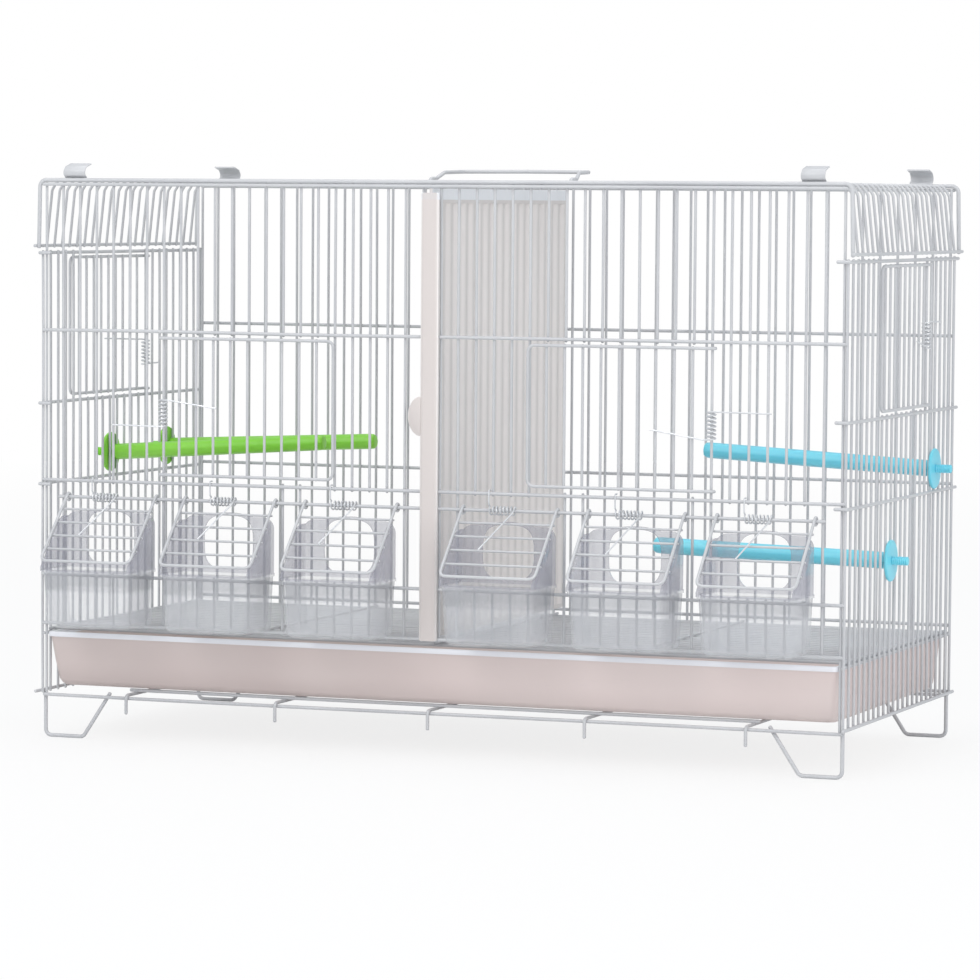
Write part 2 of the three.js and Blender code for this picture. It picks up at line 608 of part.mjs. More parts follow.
const COIL_LENGTH = COIL_PITCH * COIL_CURLS;
const number = ["1", "2", "3"];
FEEDERS.forEach(([a, b], i) => {
  for (const side of [-1, 1]) {
    // The feeders are numbered from the left: 1 to 3 in the left half, 4 to 6 in the right.
    const xc = (side * (frontX(a) + frontX(b))) / 2;
    const label = side < 0 ? 3 - i : 4 + i;
    add("feeder_flap_" + label, flap(xc), "wire");
    add("feeder_cup_" + label, cup(xc), "cup");
    // The coil lies round the hinge wire; p is forward along the slope's normal, q down the slope.
    const start = xc - 15;
    const place = (along, v, u) => onSlope(start + along, u, v);
    const up = (y, z) => {
      // A point of the fixed arm, given in cage Y and Z, in flap coordinates.
      const dy = -y;
      const dz = HINGE_Z - z;
      return [Math.cos(SLOPE) * dy - Math.sin(SLOPE) * dz, Math.sin(SLOPE) * dy + Math.cos(SLOPE) * dz];
    };
    const rise = up(-2.3, DOOR_SILL_Z + 2.5);
    const over = up(1.2, DOOR_SILL_Z + 2.5);
    spring("flap_spring_" + label, place, -Math.PI / 4, Math.PI * 0,
      [[0, ...up(-2.3, HINGE_Z + 4.5)], [0, ...rise], [0, ...over]],
      [[COIL_LENGTH + 0.3, 4.9, 6], [COIL_LENGTH - 15.5, 4.9, 39]]);
  }
});

const DOOR_ARM = DOOR_PLANE + DOOR_WIRE + GAP + 0.7;
const PANEL_ARM = RAIL + GAP + 0.7;
// Front door springs stand round the hinge wires.
const doorSpring = (name, base, sign, doorIsUpper, doorReach, panelReach, drop) => {
  // p is out of the cage, q towards the door's free edge.
  const armOut = (reach, level, sideSign, plane, shift) => [
    [level, plane * 0.5 + COIL_R * 0.5 + 0.4, sideSign * 5], [level + shift, plane, sideSign * reach],
  ];
  const low = 0;
  const high = COIL_LENGTH;
  const place = (along, p, q) => base(along, p, q * sign);
  const head = doorIsUpper ? armOut(panelReach, low, -1, PANEL_ARM, 0.5)
    : armOut(doorReach, low, -1, DOOR_ARM, drop);
  const tail = doorIsUpper ? armOut(doorReach, high, 1, DOOR_ARM, -drop)
    : armOut(panelReach, high, 1, PANEL_ARM, -0.5);
  spring(name, place, 0, 0, head, tail);
};
doorSpring("front_door_spring_left",
  (a, p, q) => [-frontX(DOOR_HINGE) + q, -p, 195 + a], 1, true, 43, 39, 5);
doorSpring("front_door_spring_right",
  (a, p, q) => [frontX(DOOR_HINGE) + q, -p, 196 + a], 1, false, 42.5, 43, 6);
doorSpring("side_door_spring_left",
  (a, p, q) => [-SIDE_X - p, sideY(SIDE_DOOR.left[1]) + q, SIDE_SILL_Z + 22.5 + a], -1, true, 60, 29, -2);
doorSpring("side_door_spring_right",
  (a, p, q) => [SIDE_X + p, sideY(SIDE_DOOR.right[1]) + q, SIDE_SILL_Z + 44.5 + a], 1, false, 40, 29, 6);

// ---------- perches and their nuts ----------
// A rod's shoulder rests on the side wires from inside, its threaded stub passes between
// them, and a thin disc nut holds it from outside.
const ROD_R = 5.8, ROD_LENGTH = 169, STUB_R = 3.2, NUT_R = 14.5;
const perch = (name, side, y, z, tilt, slot) => {
  const inner = SIDE_X - WIRE - GAP;
  const outer = SIDE_X + WIRE + GAP;
  const put = (shape) => shape.translate([0, y, z]);
  const along = (profile, sides) => turned((side < 0 ? profile.map(([d, r]) => [-d, r])
    : profile.map(([d, r]) => [d, r]).reverse()), sides);
  const stub = along([[SIDE_X + 15, STUB_R], [inner - 2, STUB_R]], 8);
  const shoulder = along([[inner, ROD_R - 0.8], [inner - 4, ROD_R]], 8);
  const rod = along([[inner - 1, ROD_R], [inner - ROD_LENGTH + 1.5, ROD_R],
    [inner - ROD_LENGTH, ROD_R - 1.5]], 8)
    .translate([-side * inner, 0, 0]).rotate([0, side * tilt, 0]).translate([side * inner, 0, 0]);
  add(name, put(fuse([stub, shoulder, rod])), slot);
  const nut = along([[outer + 2.2, NUT_R - 0.6], [outer + 1.6, NUT_R], [outer, NUT_R]], 18);
  const bore = along([[outer + 4, STUB_R + 0.4], [outer - 1, STUB_R + 0.4]], 8);
  add(name + "_nut", put(nut.subtract(bore)), slot);
};
perch("perch_green_front", -1, sideY(9.5), SIDE_MID_Z + 17.4, 3.8, "green");
perch("perch_green_back", -1, sideY(17.5), SIDE_MID_Z + 17.4, 2.5, "green");
perch("perch_blue_upper", 1, sideY(17.5), SIDE_MID_Z + 16.4, 3, "blue");
perch("perch_blue_lower", 1, sideY(8.5), SIDE_MID_Z - 41.6, 1.7, "blue");

console.log("least gaps of the springs to themselves, mm: " + springCheck.join(", "));

export default root;
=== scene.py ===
"""Looks of a wire breeding cage: round coated wires, moulded tray, ribbed divider, clear cups, perches."""
import math
import random

import bmesh
import bpy
from mathutils import Matrix, Vector


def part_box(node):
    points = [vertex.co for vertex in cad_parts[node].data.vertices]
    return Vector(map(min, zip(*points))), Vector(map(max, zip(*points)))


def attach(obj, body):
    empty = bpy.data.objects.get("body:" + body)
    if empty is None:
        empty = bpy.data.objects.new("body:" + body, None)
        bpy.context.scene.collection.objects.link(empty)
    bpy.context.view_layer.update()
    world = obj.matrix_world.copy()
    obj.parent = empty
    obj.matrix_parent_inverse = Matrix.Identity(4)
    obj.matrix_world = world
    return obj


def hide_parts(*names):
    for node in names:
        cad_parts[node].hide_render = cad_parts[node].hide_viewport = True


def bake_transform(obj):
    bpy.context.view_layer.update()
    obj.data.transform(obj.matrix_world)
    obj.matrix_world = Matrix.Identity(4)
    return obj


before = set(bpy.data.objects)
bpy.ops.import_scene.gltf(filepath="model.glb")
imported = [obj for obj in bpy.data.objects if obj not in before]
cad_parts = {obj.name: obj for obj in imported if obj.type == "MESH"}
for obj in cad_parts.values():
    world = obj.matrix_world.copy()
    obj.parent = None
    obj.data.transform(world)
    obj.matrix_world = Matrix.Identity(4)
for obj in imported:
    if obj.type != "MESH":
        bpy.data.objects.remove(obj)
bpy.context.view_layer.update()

# ---------- where things are ----------
# Cage coordinates are millimetres: X 0 at the middle, Y 0 in the front wires, Z 0 in the base wires.
MM = 0.001
front_low, front_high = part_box("front_panel")
FRONT_Y = (front_low.y + front_high.y) / 2
FOOT_Z = -31
BASE_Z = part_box("leg_front_left")[0].z - FOOT_Z * MM


def in_row(x, y, z):
    """A point in cage millimetres as metres in the row frame."""
    return Vector((x * MM, FRONT_Y + y * MM, BASE_Z + z * MM))


WIRE = 1.0          # upright wires' radius
RAIL = 1.2          # cross wires' radius
THICK = 1.4         # legs and handle
EDGE = 1.5          # the roof's front and back wires
DOOR_WIRE = 1.1     # doors' frames
BAR = 0.85          # thin bars of the flaps
SUNK = 0.2          # how far welded wires sink into each other
GAP = 0.3           # between wires that only lie beside each other
CROSS = 0.9         # cross wires lie this far out of the wires' middle plane
PAST = 1.5          # cross wires end this far past the last upright
OVER = 0.6          # uprights end this far over the top wire
STUB = 1.4          # cut uprights end this far inside an opening

PITCH = 13.2
HALF_BAYS = 22
HALF_W = PITCH * (HALF_BAYS + 0.5)
SIDE_PITCH = 12.1
SIDE_BAYS = 22
DEPTH = SIDE_PITCH * SIDE_BAYS
SIDE_X = HALF_W + 2.6

TOP_Z, HEAD_Z, SILL_Z, HINGE_Z, FEED_Z, FRONT_FOOT_Z = 366, 262, 154.8, 143, 86.9, 51.8
SIDE_TOP_Z, SIDE_SILL_Z, SIDE_MID_Z, SIDE_LOW_Z = 317, 209.5, 151.6, 44.3
REST_Z = 2.7        # lowest wires of the back and the sides, resting on the base wires
BACK_HEIGHTS = (TOP_Z, 261, 154, 51, 45, REST_Z)
GRATE_Z = 47
CUP_RIM = 94
ROOF_Z = TOP_Z + RAIL + GAP + EDGE
ROOF_EDGE_Z = 322   # lower edge of the roof's turned-down sides

# Doors and feeders lie between numbered wires, counted from the middle and from the front.
DOOR_FREE, DOOR_HINGE = 5, 15
FEEDERS = [(1, 7), (8, 14), (15, 21)]
SIDE_DOOR = {-1: (4, 14), 1: (6, 16)}
SIDE_NAME = {-1: "left", 1: "right"}


def front_x(j):
    return PITCH * (j + 0.5)


def side_y(n):
    return SIDE_PITCH * n


def corner_name(side, at_back):
    return ("back_" if at_back else "front_") + SIDE_NAME[side]


# ---------- paths ----------
def rounded(points, radius, steps=5):
    """The path with each inner corner turned into an arc of up to that radius."""
    points = [Vector(p) for p in points]
    path = [points[0]]
    for before, corner, after in zip(points, points[1:], points[2:]):
        to_before, to_after = before - corner, after - corner
        angle = to_before.angle(to_after)
        if angle > math.pi - 0.02:
            path.append(corner)
            continue
        cut = min(radius / math.tan(angle / 2), to_before.length * 0.48, to_after.length * 0.48)
        start = corner + to_before.normalized() * cut
        end = corner + to_after.normalized() * cut
        for i in range(steps + 1):
            t = i / steps
            path.append(start * (1 - t) ** 2 + corner * 2 * t * (1 - t) + end * t * t)
    path.append(points[-1])
    return path


def bowed(start, end, chance, bow=0.35, steps=6):
    """A nearly straight wire with the slight bow that handling leaves."""
    start, end = Vector(start), Vector(end)
    along = (end - start).normalized()
    across = along.orthogonal().normalized()
    across = Matrix.Rotation(chance.uniform(0, math.tau), 3, along) @ across
    size = chance.uniform(-bow, bow) * min(1, (end - start).length / 300)
    waves = chance.choice((1, 1, 2))
    return [start.lerp(end, i / steps) + across * size * math.sin(math.pi * waves * i / steps)
            for i in range(steps + 1)]


def eye_points(radius, sweep, steps=12):
    """An open eye round a hinge wire, as pairs across the hinge, ending over the wire."""
    turn = [math.radians(sweep * (1 - i / steps)) for i in range(steps + 1)]
    return [(-radius * math.sin(a), radius * math.cos(a)) for a in turn]


def rounded_outline(half, front, back, z, radius, back_radius=None, steps=6):
    """A rounded rectangle at one height; its two back corners can have a radius of their own."""
    far = radius if back_radius is None else back_radius
    ring = []
    for x, y, r, start in ((half - far, back - far, far, 0), (-half + far, back - far, far, 90),
                           (-half + radius, front + radius, radius, 180),
                           (half - radius, front + radius, radius, 270)):
        for i in range(steps + 1):
            a = math.radians(start + 90 * i / steps)
            ring.append(Vector((x + r * math.cos(a), y + r * math.sin(a), z)))
    return ring


def block(half, front, back, low, high):
    """A plain box about X 0, as two rings."""
    return [[Vector((x, y, z)) for x, y in ((-half, front), (half, front), (half, back), (-half, back))]
            for z in (low, high)]


# ---------- shapes ----------
class Shape:
    """The points and faces of one piece, in cage millimetres."""

    def __init__(self):
        self.points = []
        self.faces = []

    def skin(self, rings):
        """Joins rings of equal length into a closed skin."""
        base = len(self.points)
        n = len(rings[0])
        for ring in rings:
            self.points.extend(ring)
        for k in range(len(rings) - 1):
            for i in range(n):
                a, b = base + k * n + i, base + k * n + (i + 1) % n
                self.faces.append((a, b, b + n, a + n))
        last = base + (len(rings) - 1) * n
        self.faces.append(tuple(base + i for i in reversed(range(n))))
        self.faces.append(tuple(last + i for i in range(n)))

    def wire(self, path, radius, sides=10):
        """A round wire along a path, with softly rounded ends."""
        path = [Vector(p) for p in path]
        directions = [(b - a).normalized() for a, b in zip(path, path[1:])]
        across = directions[0].orthogonal().normalized()
        rings = []
        for i, point in enumerate(path):
            before = directions[max(i - 1, 0)]
            after = directions[min(i, len(directions) - 1)]
            along = (before + after).normalized()
            across = (across - along * across.dot(along)).normalized()
            up = along.cross(across)
            rings.append((point, along, across, up, radius))
        point, along, across, up, _ = rings[0]
        head = [(point - along * radius * out, along, across, up, radius * size)
                for out, size in ((0.75, 0.35), (0.6, 0.7), (0.25, 0.95))]
        point, along, across, up, _ = rings[-1]
        tail = [(point + along * radius * out, along, across, up, radius * size)
                for out, size in ((0.25, 0.95), (0.6, 0.7), (0.75, 0.35))]
        skin = []
        for point, _, across, up, size in head + rings + tail:
            skin.append([point + across * size * math.cos(math.tau * i / sides)
                         + up * size * math.sin(math.tau * i / sides) for i in range(sides)])
        self.skin(skin)

    def weld(self, x, y, z, size=1.0):
        """The small bead of coat that fills a welded crossing."""
        sides, rows = 8, 5
        rings = []
        for k in range(1, rows):
            a = math.pi * k / rows
            rings.append([Vector((x + size * 1.25 * math.sin(a) * math.cos(math.tau * i / sides),
                                  y + size * math.sin(a) * math.sin(math.tau * i / sides),
                                  z + size * 1.25 * math.cos(a))) for i in range(sides)])
        self.skin(rings)

    def mesh(self, name):
        data = bpy.data.meshes.new(name)
        data.from_pydata([in_row(*p) for p in self.points], [], self.faces)
        work = bmesh.new()
        work.from_mesh(data)
        bmesh.ops.recalc_face_normals(work, faces=work.faces)
        work.to_mesh(data)
        work.free()
        smooth(data, 42)
        return data


def smooth(mesh, sharp_from):
    """Smooth shading, with the edges over that many degrees kept sharp."""
    mesh.polygons.foreach_set("use_smooth", [True] * len(mesh.polygons))
    mesh.set_sharp_from_angle(angle=math.radians(sharp_from))


def placed(name, mesh):
    thing = bpy.data.objects.new(name, mesh)
    bpy.context.scene.collection.objects.link(thing)
    return thing


def piece(name, mesh, body, finish, slot, *nodes):
    """Puts a finished mesh in the scene, on its body and in place of its nodes."""
    thing = placed(name, mesh)
    mesh.materials.append(finish)
    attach(thing, body)
    if nodes:
        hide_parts(*nodes)


def wire_piece(name, shape, body, node):
    piece(name, shape.mesh(name), body, COATED, "wire", node)


# ---------- finishes ----------
def from_hex(code):
    """A colour written as in a paint chart, in the shader's linear light."""
    parts = [int(code[i:i + 2], 16) / 255 for i in (1, 3, 5)]
    linear = [v / 12.92 if v <= 0.04045 else ((v + 0.055) / 1.055) ** 2.4 for v in parts]
    return (*linear, 1.0)


class Reading:
    """A node's output that can stand in sums."""

    def __init__(self, owner, socket):
        self.owner, self.socket = owner, socket

    def math(self, operation, first, second):
        return self.owner.node("ShaderNodeMath", {"operation": operation}, {0: first, 1: second})

    def __add__(self, other):
        return self.math("ADD", self, other)

    def __radd__(self, other):
        return self.math("ADD", other, self)

    def __rsub__(self, other):
        return self.math("SUBTRACT", other, self)

    def __mul__(self, other):
        return self.math("MULTIPLY", self, other)

    def __rmul__(self, other):
        return self.math("MULTIPLY", other, self)


class Nodes:
    """The nodes of a material or of the sky."""

    def __init__(self, tree):
        self.tree = tree

    def node(self, kind, settings, sockets, output=0):
        """A new node: its settings first, then a value or a link for each of its sockets."""
        made = self.tree.nodes.new(kind)
        for key, value in settings.items():
            setattr(made, key, value)
        for key, value in sockets.items():
            if isinstance(value, Reading):
                self.tree.links.new(value.socket, made.inputs[key])
            else:
                made.inputs[key].default_value = value
        return Reading(self, made.outputs[output])

    def seen(self):
        """1 for what the camera sees, also through the clear cups, and 0 for light on its way."""
        straight = self.node("ShaderNodeLightPath", {}, {}, "Is Camera Ray")
        through = self.node("ShaderNodeLightPath", {}, {}, "Is Transmission Ray")
        return straight.math("MAXIMUM", straight, through)

    def blend(self, share, first, second):
        return self.node("ShaderNodeMixShader", {}, {0: share, 1: first, 2: second})

    def end(self, name, reading):
        self.tree.links.new(reading.socket, self.tree.nodes[name].inputs["Surface"])


class Finish(Nodes):
    """One material: its shader, and the nodes that vary it."""

    def __init__(self, name, **settings):
        self.material = bpy.data.materials.new(name)
        self.material.use_nodes = True
        super().__init__(self.material.node_tree)
        self.shader = self.tree.nodes["Principled BSDF"]
        for key, value in settings.items():
            self.shader.inputs[key.replace("_", " ").title().replace("Ior", "IOR")].default_value = value
        self.place = self.node("ShaderNodeNewGeometry", {}, {}, "Position")

    def noise(self, scale, detail=2.0, roughness=0.5, stretch=None):
        """Noise laid over the piece by its place; scale is in spots a metre."""
        where = self.place
        if stretch:
            where = self.node("ShaderNodeVectorMath", {"operation": "MULTIPLY"}, {0: where, 1: stretch})
        return self.node("ShaderNodeTexNoise", {}, {"Vector": where, "Scale": scale, "Detail": detail,
                                                    "Roughness": roughness})

    def part_of(self, vector, letter):
        return self.node("ShaderNodeSeparateXYZ", {}, {0: vector}, letter)

    def facing(self, letter):
        """How far the surface faces along an axis, from -1 to 1."""
        return self.part_of(self.node("ShaderNodeNewGeometry", {}, {}, "Normal"), letter)

    def above(self, z, soft=0.3):
        """0 below a height in cage millimetres, 1 over it."""
        return self.stretch(self.part_of(self.place, "Z"), BASE_Z + (z - soft) * MM, BASE_Z + (z + soft) * MM)

    def stretch(self, value, low, high):
        """0 at the low reading and 1 at the high one."""
        return self.node("ShaderNodeMapRange", {"clamp": True},
                         {"Value": value, "From Min": low, "From Max": high})

    def mix(self, share, first, second):
        return self.node("ShaderNodeMix", {"data_type": "RGBA"}, {0: share, 6: first, 7: second}, 2)

    def feed(self, name, reading):
        self.tree.links.new(reading.socket, self.shader.inputs[name])

    def bump(self, height, strength, distance_mm):
        self.feed("Normal", self.node("ShaderNodeBump", {}, {
            "Strength": strength, "Distance": distance_mm * MM, "Height": height}, "Normal"))


def coated_wire():
    finish = Finish("coated_wire", coat_roughness=0.2, coat_weight=0.25)
    shade = finish.stretch(finish.noise(14, 3), 0.35, 0.65)
    specks = finish.stretch(finish.noise(700, 2), 0.62, 0.75)
    colour = finish.mix(shade, from_hex("#c3c4c7"), from_hex("#cdced0"))
    finish.feed("Base Color", finish.mix(specks * 0.25, colour, from_hex("#b9bcbf")))
    finish.feed("Roughness", 0.34 + 0.12 * finish.noise(180, 2))
    finish.bump(finish.noise(900, 2, 0.6), 0.25, 0.08)
    return finish.material


def spring_steel():
    finish = Finish("spring_steel", coat_weight=0.1)
    shade = finish.stretch(finish.noise(120, 2), 0.35, 0.65)
    finish.feed("Base Color", finish.mix(shade, from_hex("#d4d6d9"), from_hex("#e6e7e9")))
    finish.feed("Metallic", 0.35 + 0.2 * shade)
    finish.feed("Roughness", 0.28 + 0.1 * finish.noise(400, 2))
    finish.bump(finish.noise(1500, 2), 0.2, 0.04)
    return finish.material


TRAY_FACE_TOP = 41.9    # over it the tray's lip


def tray_plastic():
    """Rosy face, a little lighter to the right, with a painted sky reflection making the lip band and the
    upward-facing inside paler and bluer.
    """
    finish = Finish("tray_plastic", coat_weight=0.12, coat_roughness=0.35)
    cloud = finish.stretch(finish.noise(5, 2, 0.5, (1.0, 0.4, 2.5)), 0.38, 0.62)
    lit = finish.stretch(finish.part_of(finish.place, "X"), -120 * MM, 120 * MM)
    colour = finish.mix(lit, from_hex("#d2c3bf"), from_hex("#e4d4d0"))
    colour = finish.mix(0.25 * cloud, colour, from_hex("#e2dad6"))
    # painted sky reflection: the lip band over the face and every upward-facing surface are mixed towards
    # pale blue-white
    colour = finish.mix(0.85 * finish.above(TRAY_FACE_TOP), colour, from_hex("#eff2f8"))
    colour = finish.mix(0.8 * finish.stretch(finish.facing("Z"), 0.55, 0.95), colour, from_hex("#fbfdff"))
    scuff = finish.stretch(finish.noise(60, 4, 0.7, (1, 1, 6)), 0.6, 0.75)
    finish.feed("Base Color", finish.mix(scuff * 0.1, colour, from_hex("#c6bebb")))
    finish.feed("Roughness", 0.4 + 0.14 * finish.noise(90, 3))
    finish.bump(finish.noise(1400, 2, 0.6), 0.18, 0.08)
    return finish.material


SHEET_LOW, SHEET_TOP = 53.4, 357    # the divider's ribs; over them its smooth band


def divider_plastic():
    """Cream ribs with painted shade on the flanks turned away from the front, a cooler band on top and a rosy
    front strip.
    """
    finish = Finish("divider_plastic", coat_weight=0.05)
    cloud = finish.stretch(finish.noise(9, 2, 0.5, (1, 1, 0.4)), 0.4, 0.6)
    colour = finish.mix(cloud, from_hex("#f2edea"), from_hex("#f4efec"))
    ahead = finish.facing("Y")
    # painted shade: the further a surface turns away from the front, the more it is mixed towards grey
    colour = finish.mix(0.6 * finish.stretch(ahead, -0.45, 0.05), colour, from_hex("#cbc7c4"))
    colour = finish.mix(finish.above(SHEET_TOP - 0.2), colour, from_hex("#eff1f4"))
    colour = finish.mix(0.7 * finish.stretch(ahead, -0.7, -0.95), colour, from_hex("#cdc3bf"))
    scuff = finish.stretch(finish.noise(40, 4, 0.7, (4, 4, 0.6)), 0.6, 0.75)
    finish.feed("Base Color", finish.mix(scuff * 0.12, colour, from_hex("#c3bdb8")))
    finish.feed("Roughness", 0.46 + 0.12 * finish.noise(70, 3))
    finish.bump(finish.noise(1100, 2, 0.6), 0.2, 0.08)
    return finish.material


def clear_plastic():
    """Thin clear plastic: nearly clear bowl with a band of painted shade under the rim, greyer hood."""
    finish = Finish("clear_plastic", coat_weight=0.5, coat_roughness=0.08, ior=1.46)
    haze = finish.stretch(finish.noise(28, 3, 0.55), 0.35, 0.7)
    hood = finish.above(CUP_RIM - 1)
    # painted shade: a darker, less clear band from 15 to 3 mm under the rim, where the feeder's low wire and
    # the cup's ledge lie behind
    band = finish.above(CUP_RIM - 15, 1.5) * (1 - finish.above(CUP_RIM - 3))
    colour = finish.mix(haze, from_hex("#d6d8dc"), from_hex("#e2e3e6"))
    colour = finish.mix(0.6 * band, colour, from_hex("#a4a6ab"))
    finish.feed("Base Color", finish.mix(hood, colour, from_hex("#b4b4bf")))
    finish.feed("Roughness", 0.14 + 0.14 * haze)
    edge_on = finish.node("ShaderNodeLayerWeight", {}, {"Blend": 0.35}, "Facing")
    streak = finish.stretch(finish.noise(110, 3, 0.6, (1.5, 1.5, 0.25)), 0.45, 0.8)
    finish.feed("Alpha", 0.15 + 0.15 * hood + 0.1 * band + 0.35 * edge_on + 0.08 * streak)
    finish.bump(finish.noise(160, 2, 0.5, (1, 1, 0.35)), 0.25, 0.3)
    return finish.material


def perch_plastic(name, light, deep):
    finish = Finish(name, coat_weight=0.2, coat_roughness=0.2, subsurface_weight=0.06, subsurface_scale=0.002)
    cloud = finish.stretch(finish.noise(30, 2, 0.5, (0.3, 1, 1)), 0.35, 0.65)
    finish.feed("Base Color", finish.mix(cloud, from_hex(light), from_hex(deep)))
    finish.feed("Roughness", 0.3 + 0.12 * finish.noise(150, 3, 0.6, (0.2, 1, 1)))
    finish.bump(finish.noise(900, 2, 0.6, (0.3, 1, 1)), 0.2, 0.06)
    return finish.material


COATED = coated_wire()
SPRING = spring_steel()
TRAY = tray_plastic()
DIVIDER = divider_plastic()
CLEAR = clear_plastic()
PERCH = {
    "green": perch_plastic("green_plastic", "#92df4a", "#82d636"),
    "blue": perch_plastic("blue_plastic", "#80dff0", "#6fd4ea"),
}

# ---------- front and back ----------
chance = random.Random(7)
STRAIGHTER = 0.3    # largest bow of a cross wire
FRONT_OUT = -CROSS
FRONT_UPRIGHT_Y = WIRE + RAIL - SUNK - CROSS
BACK_OUT = DEPTH + WIRE + RAIL - SUNK - CROSS
BACK_UPRIGHT_Y = DEPTH - CROSS
CORNER_LOW = 1.5    # the two corner uprights of the front go down to the base wire
# Height of each parted cross wire of the front and the uprights it runs between, on both halves.
FRONT_PARTED = ((HEAD_Z, 0, 22), (SILL_Z, 0, 22), (HINGE_Z, 0, 21), (FEED_Z, 0, 22))


def front_cross(shape, x0, x1, z):
    shape.wire(bowed((x0, FRONT_OUT, z), (x1, FRONT_OUT, z), chance, STRAIGHTER), RAIL)


def front_upright(shape, side, j):
    """One upright, parted where a door or a feeder has its opening."""
    x = side * front_x(j)
    low = CORNER_LOW if j == HALF_BAYS else FRONT_FOOT_Z - RAIL
    stretches = [(low, TOP_Z + OVER)]
    in_door = DOOR_FREE < j < DOOR_HINGE
    in_feeder = any(a < j < b for a, b in FEEDERS)
    if in_door or in_feeder:
        opening_low = FEED_Z if in_feeder else SILL_Z
        opening_top = HEAD_Z if in_door else SILL_Z
        stretches = [(low, opening_low + STUB), (opening_top - STUB, TOP_Z + OVER)]
    for z0, z1 in stretches:
        shape.wire(bowed((x, FRONT_UPRIGHT_Y, z0), (x, FRONT_UPRIGHT_Y, z1), chance), WIRE)
        for z in (TOP_Z, HEAD_Z, SILL_Z, FEED_Z, FRONT_FOOT_Z):
            if z0 - 2 < z < z1 + 2:
                shape.weld(x, (FRONT_OUT + FRONT_UPRIGHT_Y) / 2, z)


def front_panel():
    shape = Shape()
    for z in (TOP_Z, FRONT_FOOT_Z):
        front_cross(shape, -HALF_W - PAST, HALF_W + PAST, z)
    for side in (-1, 1):
        for z, inner, outer in FRONT_PARTED:
            front_cross(shape, side * (front_x(inner) - 1.6), side * (front_x(outer) + 1.8), z)
        for j in range(HALF_BAYS + 1):
            front_upright(shape, side, j)
    wire_piece("front_wires", shape, "cage", "front_panel")


def back_panel():
    shape = Shape()
    for z in BACK_HEIGHTS:
        ends = (-HALF_W - PAST, BACK_OUT, z), (HALF_W + PAST, BACK_OUT, z)
        shape.wire(bowed(*ends, chance, STRAIGHTER), RAIL)
    for side in (-1, 1):
        for j in range(HALF_BAYS + 1):
            x = side * front_x(j)
            ends = (x, BACK_UPRIGHT_Y, REST_Z - 1), (x, BACK_UPRIGHT_Y, TOP_Z + OVER)
            shape.wire(bowed(*ends, chance), WIRE)
            for z in BACK_HEIGHTS:
                shape.weld(x, (BACK_UPRIGHT_Y + BACK_OUT) / 2, z)
    wire_piece("back_wires", shape, "cage", "back_panel")


# ---------- sides ----------
SIDE_PAST = 3       # side wires end this far past the back wires
LOW_IN = 3          # the low wire, which carries the grate, ends this far inside the corners


def side_panel(side):
    shape = Shape()
    free, hinge = SIDE_DOOR[side]
    x = side * SIDE_X
    outside = side * (SIDE_X + WIRE + RAIL - SUNK)
    inside = side * (SIDE_X - WIRE - RAIL + SUNK)
    end_y = DEPTH + SIDE_PAST
    hook_y = -WIRE - RAIL - GAP
    for z in (SIDE_SILL_Z, SIDE_TOP_Z, SIDE_MID_Z):
        hooked = [(side * (HALF_W - 4), hook_y, z), (outside, hook_y, z), (outside, end_y, z)]
        shape.wire(rounded(hooked, 2.2), RAIL)
    shape.wire([(outside, -7.5, REST_Z), (outside, end_y, REST_Z)], RAIL)
    shape.wire([(inside, LOW_IN, SIDE_LOW_Z), (inside, DEPTH - LOW_IN, SIDE_LOW_Z)], RAIL)
    for n in range(SIDE_BAYS + 1):
        y = side_y(n)
        top = SIDE_SILL_Z if free < n < hinge else SIDE_TOP_Z
        shape.wire(bowed((x, y, REST_Z - 1), (x, y, top + RAIL), chance), WIRE)
        for z in (SIDE_TOP_Z, SIDE_SILL_Z, SIDE_MID_Z, REST_Z):
            if z <= top:
                shape.weld((x + outside) / 2, y, z)
        shape.weld((x + inside) / 2, y, SIDE_LOW_Z)
    name = SIDE_NAME[side] + "_side"
    wire_piece(name + "_wires", shape, "cage", name + "_panel")


# ---------- roof ----------
EDGE_X = SIDE_X + 3.2
STAYS = (-80.5, 0, 80.5)
# From a roof wire's lower end to the flat roof, as X and Z: the two end wires bend sharper.
END_BENDS = ((EDGE_X, ROOF_EDGE_Z - 0.8), (SIDE_X + 2.3, ROOF_Z - 3), (SIDE_X - 0.6, ROOF_Z))
ROOF_BENDS = ((EDGE_X, ROOF_EDGE_Z - 0.8), (SIDE_X - 1.2, ROOF_Z - 7), (SIDE_X - 6, ROOF_Z))


def roof_wire(shape, n):
    """One wire over the roof, bent down at both sides, with a slight sag or rise in the middle."""
    y = side_y(n)
    at_end = n in (0, SIDE_BAYS)
    half = END_BENDS if at_end else ROOF_BENDS
    path = rounded([(-x, y, z) for x, z in half] + [(x, y, z) for x, z in half[::-1]], 5, 6)
    middle = len(path) // 2
    sag = chance.uniform(-0.3, 0.3)
    path = [*path[:middle], Vector((0, y, ROOF_Z + sag)), *path[middle:]]
    shape.wire(path, EDGE if at_end else WIRE)


def roof():
    shape = Shape()
    for n in range(SIDE_BAYS + 1):
        roof_wire(shape, n)
    for side in (-1, 1):
        x = side * (EDGE_X + 1.5)
        shape.wire(bowed((x, -3.5, ROOF_EDGE_Z), (x, DEPTH + 3.5, ROOF_EDGE_Z), chance), RAIL)
        for n in range(SIDE_BAYS + 1):
            shape.weld(side * (EDGE_X + 0.8), side_y(n), ROOF_EDGE_Z)
    stay_z = ROOF_Z - WIRE - DOOR_WIRE + SUNK
    for x in STAYS:
        shape.wire([(x, 2.4, stay_z), (x, DEPTH - 2.4, stay_z)], DOOR_WIRE)
        for n in range(1, SIDE_BAYS):
            shape.weld(x, side_y(n), (stay_z + ROOF_Z) / 2)
    wire_piece("roof_wires", shape, "cage", "top_panel")


# ---------- base and legs ----------
SUPPORTS = (-232, -116, 0, 116, 232)
TRAY_WIRE_IN = 14       # the two wires under the tray lie this far inside the front and back wires
HOOK_LOW = -10.5        # the supports' front ends hang down to here
LEG_FLAT, LEG_SPREAD = 30, 51


